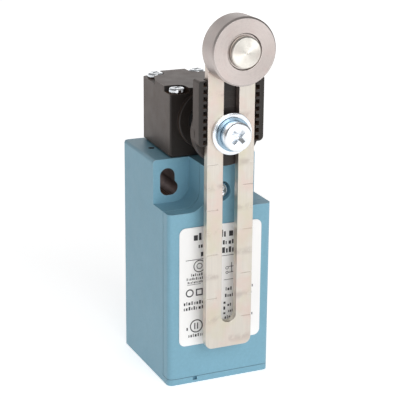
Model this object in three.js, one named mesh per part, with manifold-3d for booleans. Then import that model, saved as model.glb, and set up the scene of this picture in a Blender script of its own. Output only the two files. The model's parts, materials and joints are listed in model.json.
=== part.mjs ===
// Side-rotary limit switch: a 30 mm wide plastic body, a turret head with a rotary shaft, and a
// slotted lever of adjustable length that carries a metal roller.
//
// Units are millimetres. +Z is up, the front (cover, lever) faces -Y, and +X is to the right seen
// from the front. The origin lies on the rear mounting face, midway between the mounting holes.

import * as THREE from "three";
import { mergeVertices } from "three/addons/utils/BufferGeometryUtils.js";
import Module from "manifold-3d";

const wasm = await Module();
wasm.setup();

// ---------------------------------------------------------------- driving dimensions

// Gaps between pieces
const GAP = 0.3; // seating gap between neighbours
const RUNNING_FIT = 0.12; // radial clearance of a shaft, pin or stem in its bore
const PAST = 1; // how far a cutter runs past the face it opens

// Body
const BODY_WIDTH = 30;
const BODY_DEPTH = 33.6;
const BODY_TOP = 8; // above the centre line of the round mounting holes
const BODY_BOTTOM = -53;
const REAR_CORNER = 2; // radius of the upright edges at the back
const FRONT_CORNER = 1.5; // and at the front
const TOP_EDGE = 1; // radius of the two upper side edges
const REAR_WALL = 2.6;
const CAVITY_HALF_WIDTH = 12.4;
const CAVITY_TOP = -6.3;
const CAVITY_FLOOR = -44;

// Front cover and its seam
const COVER_DEPTH = 3.7;
const COVER_WALL = 1.8;
const LIP_HEIGHT = 1.7; // body lip under the cover
const COVER_SCREW_Z = 0.8;
const COUNTERBORE_RADIUS = 2.8;
const COVER_SCREW_HEAD_RADIUS = 2.3;
const COVER_SCREW_SHANK_RADIUS = 1.4;
const COVER_SCREW_LENGTHS = { front: -33.1, seat: -31.5, end: -20.8 };
const COUNTERBORE_FLOOR_Y = -31.2;
const PRY_NOTCH = { x: [-7.8, -6.6], depth: 1, z: [-52.3, -51] };

// Recessed mounting pads in the two upper front corners
const PAD_FACE_Y = -22.8;
const LEDGE_Z = -4.15;
const COLUMN_HALF_WIDTH = 4.6; // raised centre between the pads
const PAD_CORNER = 4.5;

// Mounting holes: an upright slot on 22 mm centres that runs into a round hole on 20 mm centres
const SLOT_X = 10.85;
const ROUND_HOLE_X = 10;
const HOLE_RADIUS = 2.12;
const SLOT_RISE = 3.3; // centre distance of the slot's two round ends

// Conduit entry, M20
const CONDUIT_Y = -16;
const CONDUIT_RADIUS = 9.3;
const CONDUIT_MOUTH_RADIUS = 10.3;

// Label
const LABEL_HALF_WIDTH = 12;
const LABEL_TOP = -8.2;
const LABEL_BOTTOM = -41.8;
const LABEL_CORNER = 1.8;
const LABEL_THICKNESS = 0.2;

// Head
const HEAD_FRONT_Y = PAD_FACE_Y;
const HEAD_BACK_Y = -0.3;
const HEAD_FRONT_HALF_WIDTH = 10.1;
const HEAD_BACK_HALF_WIDTH = 9;
const HEAD_BASE = BODY_TOP + 0.6;
const HEAD_TOP = 26.8;
const HEAD_FRONT_CORNER = 0.4;
const HEAD_BACK_CORNER = 1.2;
const HEAD_BOSS_RADIUS = 8;
const HEAD_BOSS_FRONT_Y = -24;
const HEAD_CAVITY_HALF_WIDTH = 5.4;
const HEAD_CAVITY_FRONT_Y = -18.6;
const HEAD_CAVITY_BACK_Y = -5.2;
const HEAD_CAVITY_ROOF = 24.4;
const HEAD_BORE_RADIUS = 5.2;
const BUSHING_Y = [-22.3, -19.7];
const SEAL_Y = [-23.9, -22.6];
// Centre of each screw and its pocket's floor, with how far the pocket runs towards the middle
// of the head, first beside the screw and then at POCKET_SPREAD outside it
const HEAD_SCREWS = [
  { x: -7.1, y: -20.2, floor: 25.3, reach: 2, outerReach: 2 },
  { x: 7.1, y: -20.2, floor: 25.3, reach: 2, outerReach: 2 },
  { x: 6.2, y: -2.8, floor: 25.8, reach: 2.45, outerReach: 15 },
  { x: -6.2, y: -2.8, floor: 25.8, reach: 2.45, outerReach: 15 },
];
const POCKET_SPREAD = 6;
const POCKET_BEND = 1.2; // where the pocket's edge turns outwards, beside the screw's centre
const HEAD_SCREW_HEAD_RADIUS = 2.15;
const HEAD_SCREW_HEAD_HEIGHT = 1.2;
const HEAD_SCREW_SHANK_RADIUS = 1.1;
const HEAD_SCREW_HOLE_RADIUS = 1.35;
const HEAD_SCREW_END = 3.4;

// Shaft and cam
const SHAFT_Z = 18;
const SHAFT_RADIUS = 4;
const SHAFT_FRONT_Y = -34.2;
const SHAFT_SHOULDER_Y = -17.9;
const CAM_SEAT_RADIUS = 3.1;
const CAM_SEAT_FLAT = 2.4; // distance of the driving flat below the axis
const JOURNAL_RADIUS = 2.5;
const JOURNAL_START_Y = -8;
const SHAFT_BACK_Y = -2.8;
const CAM_RADIUS = 5.1;
const CAM_FLAT = 3.7;
const CLIP = { inner: 2.65, outer: 4, y: [-7.6, -6.9], gapHalfWidth: 0.9 };

// Pusher between the cam and the contacts
const PUSHER_Y = -12;
const CHAMBER_HALF_WIDTH = 5.2;
const CHAMBER_FLOOR = -2.5;
const PUSHER_CAP_RADIUS = 4.4;
const PUSHER_CAP_BOTTOM = 11;
const PUSHER_CAP_TOP = 12.4;
const PUSHER_STEM_RADIUS = 2.2;
const PUSHER_STEM_END = -9;
const RETURN_SPRING = { radius: 3.5, wire: 0.9, turns: 6 };

// Lever holder, slotted lever and clamp, along Y from the lever's front face
const LEVER_HALF_WIDTH = 6.65;
const LEVER_FRONT_Y = -39.3;
const LEVER_BACK_Y = -37.2;
const LEVER_BOTTOM = -59.25; // this and the next four are heights from the shaft axis
const ROLLER_HEIGHT = 22.5;
const SLOT_BOTTOM = -52.2;
const SLOT_TOP = 16.5;
const SLOT_HALF_WIDTH = 2.15;
const LEVER_CORNER = 2;
const HOLDER_DISC_RADIUS = 9.3;
const HOLDER_DISC_FRONT_Y = -37;
const HOLDER_DISC_BACK_Y = -34;
const HOLDER_HUB_RADIUS = 6;
const HOLDER_HUB_BACK_Y = -28.5;
const RAIL_INNER = 6.95;
const RAIL_OUTER = 9.2;
const RAIL_FRONT_Y = -39.3;
const RAIL_BACK_Y = -35.6;
const RAIL_BOTTOM = -2.8;
const RAIL_TOP = 14.3;
const NOTCH_COUNT = 9;
const NOTCH_PITCH = 1.9;
const NOTCH_HEIGHT = 1.15;
const NOTCH_DEPTH = 0.95;
const CLAMP_SHANK_RADIUS = 1.9;
const CLAMP_HEAD_RADIUS = 3.8;
const CLAMP_HEAD_FRONT_Y = -43.9;
const CLAMP_HEAD_BACK_Y = -41.15;
const CLAMP_SHANK_END_Y = -27.5;
const FLAT_WASHER = { radius: 5.55, y: [-40.15, -39.4] };
const SPRING_WASHER = { radius: 4.5, y: [-41.05, -40.25], splitHalfWidth: 0.25 };

// Roller
const ROLLER_RADIUS = 8.8;
const ROLLER_FRONT_Y = -46.5;
const ROLLER_BACK_Y = -39.75;
const ROLLER_CHAMFER = 0.45;
const ROLLER_RECESS = { radius: 4.7, depth: 0.5 }; // the sunk ring round the pin's head
const PIN_HEAD_RADIUS = 4.05;
const PIN_SHANK_RADIUS = 2.6;
const PIN_FRONT_Y = -47.6;
const SPACER_Y = [-39.65, -39.4];

// Contact block
const BASE_HALF_WIDTH = 11.9;
const BASE_FRONT_Y = -22;
const BASE_BACK_Y = -2.9;
const BASE_TOP = -8;
const BASE_BOTTOM = -38.5;
const CHANNEL_HALF_WIDTH = 4.2;
const CHANNEL_BACK_Y = -6.5;
const CHANNEL_FLOOR = -36;
const CARRIER_HALF_WIDTH = 3.9;
const CARRIER_FRONT_Y = -17.5;
const CARRIER_BACK_Y = -7;
const CARRIER_TOP = -10.5;
const CARRIER_BOTTOM = -30;
const BRIDGE_HALF_LENGTH = 8.6;
const BRIDGE_THICKNESS = 0.8;
const BRIDGE_Y = [-14.5, -10.5];
const BLADE_THICKNESS = 0.8;
const TERMINAL_X = 8;
const TERMINAL_HALF_WIDTH = 2.7;
const TERMINAL_HALF_HEIGHT = 2.4;
const TERMINAL_HOLE_RADIUS = 1.6;
const TERMINAL_SCREW = { headRadius: 2.4, headHeight: 1.9, shankRadius: 1.3, end: -15.9 };
const BRIDGE_SPRING = { radius: 1.4, wire: 0.45, turns: 3 };
const CARRIER_SPRING = { radius: 2.6, wire: 0.5, turns: 3.5 };

// The two switching levels: the bridge's underside, its carrier window, the underside of the
// fixed blades, and the terminal screw's height.
const NC_LEVEL = { bridge: -15.3, window: [-19.5, -14.2], blade: -14.2, screw: -11 };
const NO_LEVEL = { bridge: -27.2, window: [-27.5, -22.2], blade: -31.5, screw: -34.2 };

// ---------------------------------------------------------------- solids

// A closed geometry as a solid. A profile may be drawn either way round.
function solid(geometry) {
  const plain = geometry.clone();
  plain.deleteAttribute("normal");
  plain.deleteAttribute("uv");
  const merged = mergeVertices(plain, 1e-4);
  const index = Array.from(merged.index.array);
  const triangles = [];
  for (let i = 0; i < index.length; i += 3) {
    const [a, b, c] = index.slice(i, i + 3);
    if (a !== b && b !== c && a !== c) triangles.push(a, b, c);
  }
  const build = (triVerts) =>
    new wasm.Manifold(
      new wasm.Mesh({
        numProp: 3,
        vertProperties: new Float32Array(merged.attributes.position.array),
        triVerts: new Uint32Array(triVerts),
      }),
    );
  const made = build(triangles);
  return made.volume() < 0 ? build(triangles.reverse()) : made;
}

const cut = (body, ...tools) => tools.reduce((rest, tool) => rest.subtract(tool), body);
const join = (body, ...others) => others.reduce((sum, other) => sum.add(other), body);
const meet = (body, ...others) => others.reduce((rest, other) => rest.intersect(other), body);

// A box from its ranges along X, Y and Z.
function block([x0, x1], [y0, y1], [z0, z1]) {
  const box = new THREE.BoxGeometry(x1 - x0, y1 - y0, z1 - z0);
  return solid(box.translate((x0 + x1) / 2, (y0 + y1) / 2, (z0 + z1) / 2));
}

function sidesFor(radius) {
  if (radius < 1.5) return 12;
  if (radius < 5) return 20;
  return radius < 7 ? 28 : 40;
}

// A round bar along Y, through (x, z).
function roundY(radius, [y0, y1], x = 0, z = 0) {
  const bar = new THREE.CylinderGeometry(radius, radius, y1 - y0, sidesFor(radius));
  return solid(bar.translate(x, (y0 + y1) / 2, z));
}

// A round bar along Z, through (x, y).
function roundZ(radius, [z0, z1], x = 0, y = 0) {
  const bar = new THREE.CylinderGeometry(radius, radius, z1 - z0, sidesFor(radius));
  return solid(bar.rotateX(Math.PI / 2).translate(x, y, (z0 + z1) / 2));
}

// A turned piece about Y, from [radius, y] points that start and end on the axis or close.
function turnedY(profile, x = 0, z = 0) {
  const points = profile.map(([radius, y]) => new THREE.Vector2(radius, y));
  const widest = Math.max(...points.map((point) => point.x));
  return solid(new THREE.LatheGeometry(points, sidesFor(widest)).translate(x, 0, z));
}

// The same about Z, from [radius, z] points.
function turnedZ(profile, x = 0, y = 0) {
  const points = profile.map(([radius, z]) => new THREE.Vector2(radius, z));
  const widest = Math.max(...points.map((point) => point.x));
  const turned = new THREE.LatheGeometry(points, sidesFor(widest)).rotateX(Math.PI / 2);
  return solid(turned.translate(x, y, 0));
}

// A ring about Y.
function ringY(inner, outer, [y0, y1]) {
  const profile = [[inner, y0], [outer, y0], [outer, y1], [inner, y1], [inner, y0]];
  return turnedY(profile);
}

// A shape drawn in X and Z, extruded along Y.
function plateY(shape, [y0, y1]) {
  const options = { depth: y1 - y0, bevelEnabled: false, curveSegments: 4 };
  return solid(new THREE.ExtrudeGeometry(shape, options).rotateX(Math.PI / 2).translate(0, y1, 0));
}

// A shape drawn in X and Y, extruded along Z.
function plateZ(shape, [z0, z1]) {
  const options = { depth: z1 - z0, bevelEnabled: false, curveSegments: 4 };
  return solid(new THREE.ExtrudeGeometry(shape, options).translate(0, 0, z0));
}

// A four-sided shape whose corners, in order anticlockwise, are { x, y, r }.
function roundedOutline(corners) {
  const shape = new THREE.Shape();
  corners.forEach(({ x, y, r }, i) => {
    const corner = new THREE.Vector2(x, y);
    const before = corners[(i + corners.length - 1) % corners.length];
    const after = corners[(i + 1) % corners.length];
    const from = new THREE.Vector2(before.x - x, before.y - y).setLength(r).add(corner);
    const to = new THREE.Vector2(after.x - x, after.y - y).setLength(r).add(corner);
    if (i === 0) shape.moveTo(from.x, from.y);
    else shape.lineTo(from.x, from.y);
    if (r > 0) shape.quadraticCurveTo(x, y, to.x, to.y);
  });
  shape.closePath();
  return shape;
}

function rectangle([x0, x1], [y0, y1], r = 0, topRadius = r) {
  return roundedOutline([
    { x: x0, y: y0, r },
    { x: x1, y: y0, r },
    { x: x1, y: y1, r: topRadius },
    { x: x0, y: y1, r: topRadius },
  ]);
}

class Helix extends THREE.Curve {
  constructor(radius, turns, z0, z1) {
    super();
    Object.assign(this, { radius, turns, z0, z1 });
  }

  getPoint(t, target = new THREE.Vector3()) {
    const angle = 2 * Math.PI * this.turns * t;
    const z = this.z0 + (this.z1 - this.z0) * t;
    return target.set(this.radius * Math.cos(angle), this.radius * Math.sin(angle), z);
  }
}

// A compression spring along Z that fills the range [z0, z1].
function coilSpring({ radius, wire, turns }, [z0, z1], x, y) {
  const section = new THREE.Shape();
  const sides = 5;
  const stepsPerTurn = 10;
  for (let i = 0; i < sides; i++) {
    const angle = (2 * Math.PI * i) / sides;
    const corner = [(wire / 2) * Math.cos(angle), (wire / 2) * Math.sin(angle)];
    if (i === 0) section.moveTo(...corner);
    else section.lineTo(...corner);
  }
  section.closePath();
  const path = new Helix(radius, turns, z0 + wire / 2, z1 - wire / 2);
  const steps = Math.round(turns * stepsPerTurn);
  const options = { steps, extrudePath: path, bevelEnabled: false };
  return solid(new THREE.ExtrudeGeometry(section, options).translate(x, y, 0));
}

// ---------------------------------------------------------------- materials

function finish(color, roughness, metalness = 0) {
  return new THREE.MeshStandardMaterial({ color, roughness, metalness });
}

const bluePlastic = finish(0x84b2c3, 0.55);
const blackPlastic = finish(0x3a3532, 0.6);
const innerPlastic = finish(0x2c2c2e, 0.6);
const ivoryPlastic = finish(0xd9d2bd, 0.5);
const labelFilm = finish(0xf2f1ee, 0.5);
const rubber = finish(0x1c1c1c, 0.9);
const nickelPlate = finish(0xd8ccc0, 0.4, 1);
const turnedSteel = finish(0xcfc8c2, 0.35, 1);
const brightZinc = finish(0xdfe6ea, 0.25, 1);
const springSteel = finish(0x9a9a98, 0.35, 1);
const bronze = finish(0xa5794a, 0.4, 1);
const brass = finish(0xc9a658, 0.35, 1);

function piece(name, shape, material) {
  const { numProp, vertProperties, triVerts } = shape.getMesh();
  const position = new Float32Array((vertProperties.length / numProp) * 3);
  for (let i = 0; i < position.length / 3; i++) {
    position.set(vertProperties.subarray(i * numProp, i * numProp + 3), i * 3);
  }
  const geometry = new THREE.BufferGeometry();
  geometry.setAttribute("position", new THREE.BufferAttribute(position, 3));
  geometry.setIndex(new THREE.BufferAttribute(new Uint32Array(triVerts), 1));
  geometry.computeVertexNormals();
  const mesh = new THREE.Mesh(geometry, material);
  mesh.name = name;
  return mesh;
}

function group(...members) {
  const made = new THREE.Group();
  made.add(...members);
  return made;
}

// ---------------------------------------------------------------- body and cover

const FRONT_Y = -BODY_DEPTH;
const BODY_FRONT_Y = FRONT_Y + COVER_DEPTH + GAP; // the body's rim behind the cover
const COVER_BACK_Y = FRONT_Y + COVER_DEPTH;

// The outside of the closed body: upright edges and the two top side edges rounded.
function bodyEnvelope() {
  const half = BODY_WIDTH / 2;
  const plan = rectangle([-half, half], [FRONT_Y, 0], FRONT_CORNER, REAR_CORNER);
  const elevation = rectangle([-half, half], [BODY_BOTTOM, BODY_TOP], 0, TOP_EDGE);
  return meet(plateZ(plan, [BODY_BOTTOM, BODY_TOP]), plateY(elevation, [FRONT_Y, 0]));
}

// What is cut away in front of both mounting pads, with the round inner corner over the ledge.
function padCutters() {
  const outer = BODY_WIDTH / 2 + PAST;
  return [-1, 1].map((side) => {
    const shape = new THREE.Shape();
    shape.moveTo(side * outer, LEDGE_Z);
    shape.lineTo(side * (COLUMN_HALF_WIDTH + PAD_CORNER), LEDGE_Z);
    const corner = [side * COLUMN_HALF_WIDTH, LEDGE_Z];
    shape.quadraticCurveTo(...corner, side * COLUMN_HALF_WIDTH, LEDGE_Z + PAD_CORNER);
    shape.lineTo(side * COLUMN_HALF_WIDTH, BODY_TOP + PAST);
    shape.lineTo(side * outer, BODY_TOP + PAST);
    shape.closePath();
    return plateY(shape, [FRONT_Y - PAST, PAD_FACE_Y]);
  });
}

function mountingHole(side) {
  const through = [PAD_FACE_Y - PAST, PAST];
  const x = side * SLOT_X;
  return join(
    roundY(HOLE_RADIUS, through, x, 0),
    roundY(HOLE_RADIUS, through, x, SLOT_RISE),
    block([x - HOLE_RADIUS, x + HOLE_RADIUS], through, [0, SLOT_RISE]),
    roundY(HOLE_RADIUS, through, side * ROUND_HOLE_X, 0),
  );
}

function conduitEntry() {
  const mouth = CONDUIT_MOUTH_RADIUS - CONDUIT_RADIUS;
  const profile = [
    [0, BODY_BOTTOM - PAST],
    [CONDUIT_MOUTH_RADIUS, BODY_BOTTOM - PAST],
    [CONDUIT_MOUTH_RADIUS, BODY_BOTTOM],
    [CONDUIT_RADIUS, BODY_BOTTOM + mouth],
    [CONDUIT_RADIUS, CAVITY_FLOOR + PAST],
    [0, CAVITY_FLOOR + PAST],
  ];
  return turnedZ(profile, 0, CONDUIT_Y);
}

const GASKET_SEAT = { width: 1.3, depth: 0.8 };

function bodyHousing() {
  const width = CAVITY_HALF_WIDTH;
  const seat = width + GASKET_SEAT.width;
  const wholeWidth = [-BODY_WIDTH, BODY_WIDTH];
  const chamberY = [PUSHER_Y - CHAMBER_HALF_WIDTH, PUSHER_Y + CHAMBER_HALF_WIDTH];
  const aboveLip = [BODY_BOTTOM + LIP_HEIGHT, BODY_TOP + PAST];
  const seatHeight = [CAVITY_FLOOR - GASKET_SEAT.width, CAVITY_TOP + GASKET_SEAT.width - GAP];
  const screwHole = [BODY_FRONT_Y - PAST, COVER_SCREW_LENGTHS.end + GAP];
  const headScrewHoles = HEAD_SCREWS.map(({ x, y }) =>
    roundZ(HEAD_SCREW_HOLE_RADIUS, [HEAD_SCREW_END - GAP, BODY_TOP + PAST], x, y),
  );
  return cut(
    bodyEnvelope(),
    block(wholeWidth, [FRONT_Y - PAST, BODY_FRONT_Y], aboveLip),
    block([-width, width], [BODY_FRONT_Y - PAST, -REAR_WALL], [CAVITY_FLOOR, CAVITY_TOP]),
    block([-seat, seat], [BODY_FRONT_Y - PAST, BODY_FRONT_Y + GASKET_SEAT.depth], seatHeight),
    ...padCutters(),
    mountingHole(-1),
    mountingHole(1),
    block([-CHAMBER_HALF_WIDTH, CHAMBER_HALF_WIDTH], chamberY, [CHAMBER_FLOOR, BODY_TOP + PAST]),
    roundZ(PUSHER_STEM_RADIUS + RUNNING_FIT, [CAVITY_TOP - PAST, CHAMBER_FLOOR + PAST], 0, PUSHER_Y),
    ...headScrewHoles,
    roundY(COVER_SCREW_SHANK_RADIUS + GAP, screwHole, 0, COVER_SCREW_Z),
    conduitEntry(),
    block(PRY_NOTCH.x, [FRONT_Y - PAST, FRONT_Y + PRY_NOTCH.depth], PRY_NOTCH.z),
  );
}

function frontCover() {
  const width = CAVITY_HALF_WIDTH;
  const lipTop = BODY_BOTTOM + LIP_HEIGHT + GAP;
  const wholeWidth = [-BODY_WIDTH, BODY_WIDTH];
  const slab = block(wholeWidth, [FRONT_Y - PAST, COVER_BACK_Y], [lipTop, BODY_TOP + PAST]);
  return cut(
    meet(bodyEnvelope(), slab),
    ...padCutters(),
    block([-width, width], [FRONT_Y + COVER_WALL, COVER_BACK_Y + PAST], [CAVITY_FLOOR, CAVITY_TOP]),
    roundY(COUNTERBORE_RADIUS, [FRONT_Y - PAST, COUNTERBORE_FLOOR_Y], 0, COVER_SCREW_Z),
    roundY(COVER_SCREW_SHANK_RADIUS + GAP, [FRONT_Y, COVER_BACK_Y + PAST], 0, COVER_SCREW_Z),
  );
}

function coverGasket() {
  const clear = GAP / 2;
  const inner = CAVITY_HALF_WIDTH + clear;
  const outer = CAVITY_HALF_WIDTH + GASKET_SEAT.width - clear;
  const ring = rectangle(
    [-outer, outer],
    [CAVITY_FLOOR - GASKET_SEAT.width + clear, CAVITY_TOP + GASKET_SEAT.width - GAP - clear],
    0.8,
  );
  ring.holes.push(rectangle([-inner, inner], [CAVITY_FLOOR - clear, CAVITY_TOP + clear], 0.4));
  return plateY(ring, [COVER_BACK_Y + 0.1, BODY_FRONT_Y + GASKET_SEAT.depth - clear]);
}

// A pan-head screw along Y with its head to the front and a cross recess.
function screwAlongY(headRadius, shankRadius, { front, seat, end }, recess) {
  const crown = (seat - front) * 0.3;
  const profile = [
    [0, front],
    [headRadius - crown, front],
    [headRadius, front + crown],
    [headRadius, seat],
    [shankRadius, seat],
    [shankRadius, end],
    [0, end],
  ];
  const arm = recess.width / 2;
  const depth = [front - PAST, front + recess.depth];
  const cross = join(
    block([-recess.reach, recess.reach], depth, [-arm, arm]),
    block([-arm, arm], depth, [-recess.reach, recess.reach]),
  ).rotate([0, 45, 0]);
  return cut(turnedY(profile), cross);
}

// The same screw standing along Z, head up.
function screwAlongZ(headRadius, shankRadius, { top, seat, end }, recess, x, y) {
  const lengths = { front: -top, seat: -seat, end: -end };
  const screw = screwAlongY(headRadius, shankRadius, lengths, recess);
  return screw.rotate([-90, 0, 0]).translate([x, y, 0]);
}

function coverScrew() {
  const recess = { reach: 1.3, width: 0.7, depth: 0.9 };
  const radii = [COVER_SCREW_HEAD_RADIUS, COVER_SCREW_SHANK_RADIUS];
  return screwAlongY(...radii, COVER_SCREW_LENGTHS, recess).translate([0, 0, COVER_SCREW_Z]);
}

function ratingLabel() {
  const outline = rectangle(
    [-LABEL_HALF_WIDTH, LABEL_HALF_WIDTH],
    [LABEL_BOTTOM, LABEL_TOP],
    LABEL_CORNER,
  );
  const back = FRONT_Y - 0.05;
  return plateY(outline, [back - LABEL_THICKNESS, back]);
}

// ---------------------------------------------------------------- head

// The head's plan narrows towards the back, and `inset` shrinks it all round.
function headPlan(inset = 0) {
  const front = HEAD_FRONT_HALF_WIDTH - inset;
  const back = HEAD_BACK_HALF_WIDTH - inset;
  return roundedOutline([
    { x: -front, y: HEAD_FRONT_Y + inset, r: HEAD_FRONT_CORNER },
    { x: front, y: HEAD_FRONT_Y + inset, r: HEAD_FRONT_CORNER },
    { x: back, y: HEAD_BACK_Y - inset, r: HEAD_BACK_CORNER },
    { x: -back, y: HEAD_BACK_Y - inset, r: HEAD_BACK_CORNER },
  ]);
}

// The pocket for one screw head, open to the two outer faces of its corner.
function screwPocket({ x, y, floor, reach, outerReach }) {
  const radius = HEAD_SCREW_HEAD_RADIUS + GAP;
  const height = [floor, HEAD_TOP + PAST];
  const outwardX = Math.sign(x);
  const outwardY = Math.sign(y - (HEAD_FRONT_Y + HEAD_BACK_Y) / 2);
  const point = (out, inner) => new THREE.Vector2(x + outwardX * out, y - outwardY * inner);
  const outline = new THREE.Shape([
    point(-radius, -POCKET_SPREAD),
    point(-radius, 0),
    point(0, 0),
    point(0, reach),
    point(POCKET_BEND, reach),
    point(POCKET_SPREAD, outerReach),
    point(POCKET_SPREAD, -POCKET_SPREAD),
  ]);
  return join(roundZ(radius, height, x, y), plateZ(outline, height));
}

function headHousing() {
  const throughHead = [HEAD_BASE - PAST, HEAD_TOP + PAST];
  const cavityX = [-HEAD_CAVITY_HALF_WIDTH, HEAD_CAVITY_HALF_WIDTH];
  const cavityY = [HEAD_CAVITY_FRONT_Y, HEAD_CAVITY_BACK_Y];
  const shoulder = HEAD_CAVITY_FRONT_Y - 0.9;
  return cut(
    join(
      plateZ(headPlan(), [HEAD_BASE, HEAD_TOP]),
      roundY(HEAD_BOSS_RADIUS, [HEAD_BOSS_FRONT_Y, HEAD_FRONT_Y + PAST], 0, SHAFT_Z),
    ),
    block(cavityX, cavityY, [HEAD_BASE - PAST, HEAD_CAVITY_ROOF]),
    roundY(HEAD_BORE_RADIUS, [HEAD_BOSS_FRONT_Y - PAST, shoulder], 0, SHAFT_Z),
    roundY(SHAFT_RADIUS + 0.5, [shoulder - PAST, HEAD_CAVITY_FRONT_Y + PAST], 0, SHAFT_Z),
    roundY(JOURNAL_RADIUS + RUNNING_FIT, [HEAD_CAVITY_BACK_Y - PAST, SHAFT_BACK_Y + GAP], 0, SHAFT_Z),
    ...HEAD_SCREWS.map(screwPocket),
    ...HEAD_SCREWS.map(({ x, y }) => roundZ(HEAD_SCREW_HOLE_RADIUS, throughHead, x, y)),
  );
}

function headGasket() {
  const thickness = [BODY_TOP + 0.1, HEAD_BASE - 0.1];
  const openingX = [-HEAD_CAVITY_HALF_WIDTH, HEAD_CAVITY_HALF_WIDTH];
  const openingY = [HEAD_CAVITY_FRONT_Y, HEAD_CAVITY_BACK_Y - 2];
  const hole = [thickness[0] - PAST, thickness[1] + PAST];
  return cut(
    plateZ(headPlan(0.6), thickness),
    block(openingX, openingY, hole),
    ...HEAD_SCREWS.map(({ x, y }) => roundZ(HEAD_SCREW_HOLE_RADIUS, hole, x, y)),
  );
}

function headScrew({ x, y, floor }) {
  const seat = floor + 0.1;
  const lengths = { top: seat + HEAD_SCREW_HEAD_HEIGHT, seat, end: HEAD_SCREW_END };
  const recess = { reach: 1.3, width: 0.6, depth: 0.8 };
  return screwAlongZ(HEAD_SCREW_HEAD_RADIUS, HEAD_SCREW_SHANK_RADIUS, lengths, recess, x, y);
}

function shaftBushing() {
  return ringY(SHAFT_RADIUS + RUNNING_FIT, HEAD_BORE_RADIUS - 0.2, BUSHING_Y);
}

function shaftSeal() {
  return ringY(SHAFT_RADIUS + RUNNING_FIT, HEAD_BORE_RADIUS - 0.2, SEAL_Y);
}

// ---------------------------------------------------------------- shaft, cam and pusher

function rotaryShaft() {
  const profile = [
    [0, SHAFT_FRONT_Y],
    [SHAFT_RADIUS, SHAFT_FRONT_Y],
    [SHAFT_RADIUS, SHAFT_SHOULDER_Y],
    [CAM_SEAT_RADIUS, SHAFT_SHOULDER_Y],
    [CAM_SEAT_RADIUS, JOURNAL_START_Y],
    [JOURNAL_RADIUS, JOURNAL_START_Y],
    [JOURNAL_RADIUS, SHAFT_BACK_Y],
    [0, SHAFT_BACK_Y],
  ];
  const seatLength = [SHAFT_SHOULDER_Y + 0.1, JOURNAL_START_Y];
  return cut(
    turnedY(profile),
    block([-SHAFT_RADIUS, SHAFT_RADIUS], seatLength, [-SHAFT_RADIUS, -CAM_SEAT_FLAT]),
    roundY(CLAMP_SHANK_RADIUS + GAP, [SHAFT_FRONT_Y - PAST, CLAMP_SHANK_END_Y + PAST]),
  );
}

function operatingCam() {
  const length = [SHAFT_SHOULDER_Y + GAP, JOURNAL_START_Y - GAP];
  const longer = [length[0] - PAST, length[1] + PAST];
  const wide = [-2 * CAM_RADIUS, 2 * CAM_RADIUS];
  const bore = cut(
    roundY(CAM_SEAT_RADIUS + 0.2, longer),
    block(wide, [longer[0] - PAST, longer[1] + PAST], [-2 * CAM_RADIUS, -CAM_SEAT_FLAT - 0.2]),
  );
  return cut(roundY(CAM_RADIUS, length), block(wide, longer, [-2 * CAM_RADIUS, -CAM_FLAT]), bore);
}

// A retaining ring with a gap, on the rear journal.
function shaftClip() {
  const gapX = [-CLIP.gapHalfWidth, CLIP.gapHalfWidth];
  const gapY = [CLIP.y[0] - PAST, CLIP.y[1] + PAST];
  const ring = ringY(CLIP.inner, CLIP.outer, CLIP.y);
  return cut(ring, block(gapX, gapY, [0, 2 * CLIP.outer]));
}

function pusher() {
  const profile = [
    [0, PUSHER_STEM_END],
    [PUSHER_STEM_RADIUS, PUSHER_STEM_END],
    [PUSHER_STEM_RADIUS, PUSHER_CAP_BOTTOM],
    [PUSHER_CAP_RADIUS, PUSHER_CAP_BOTTOM],
    [PUSHER_CAP_RADIUS, PUSHER_CAP_TOP],
    [0, PUSHER_CAP_TOP],
  ];
  return turnedZ(profile, 0, PUSHER_Y);
}

function springSeat() {
  const inner = PUSHER_STEM_RADIUS + GAP;
  const outer = CHAMBER_HALF_WIDTH - 0.4;
  const [bottom, top] = [CHAMBER_FLOOR + 0.15, CHAMBER_FLOOR + 0.75];
  const profile = [[inner, bottom], [outer, bottom], [outer, top], [inner, top], [inner, bottom]];
  return turnedZ(profile, 0, PUSHER_Y);
}

function returnSpring() {
  const length = [CHAMBER_FLOOR + 0.9, PUSHER_CAP_BOTTOM - 0.15];
  return coilSpring(RETURN_SPRING, length, 0, PUSHER_Y);
}

// ---------------------------------------------------------------- contact block

const CARRIER_Y = (CARRIER_FRONT_Y + CARRIER_BACK_Y) / 2;
const BLADE_X = [TERMINAL_X - 2.4, TERMINAL_X + 2.4];
const BLADE_BACK_Y = -9.8;
const TAB_FRONT_Y = BASE_FRONT_Y - 1.2;
const TAB_BACK_Y = BASE_FRONT_Y - 0.4;

function mirrored([x0, x1], side) {
  return side > 0 ? [x0, x1] : [-x1, -x0];
}

// The space that the bridge and the fixed blades of one level need inside the base.
function contactSpace({ bridge, blade, screw }, side) {
  const low = Math.min(bridge, blade) - 0.6;
  const high = Math.max(bridge, blade) + 1.4;
  const travelLow = Math.min(low, bridge - 3.4);
  const bladeX = mirrored([BLADE_X[0] - GAP, BLADE_X[1] + GAP], side);
  const bladeZ = [blade - GAP, blade + BLADE_THICKNESS + GAP];
  const screwHole = [BASE_FRONT_Y - PAST, TERMINAL_SCREW.end + 0.5];
  return join(
    block(mirrored([CHANNEL_HALF_WIDTH - PAST, 9.2], side), [-15.2, -9.4], [travelLow, high]),
    block(bladeX, [BASE_FRONT_Y - PAST, BLADE_BACK_Y + GAP], bladeZ),
    roundY(TERMINAL_HOLE_RADIUS, screwHole, side * TERMINAL_X, screw),
  );
}

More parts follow.
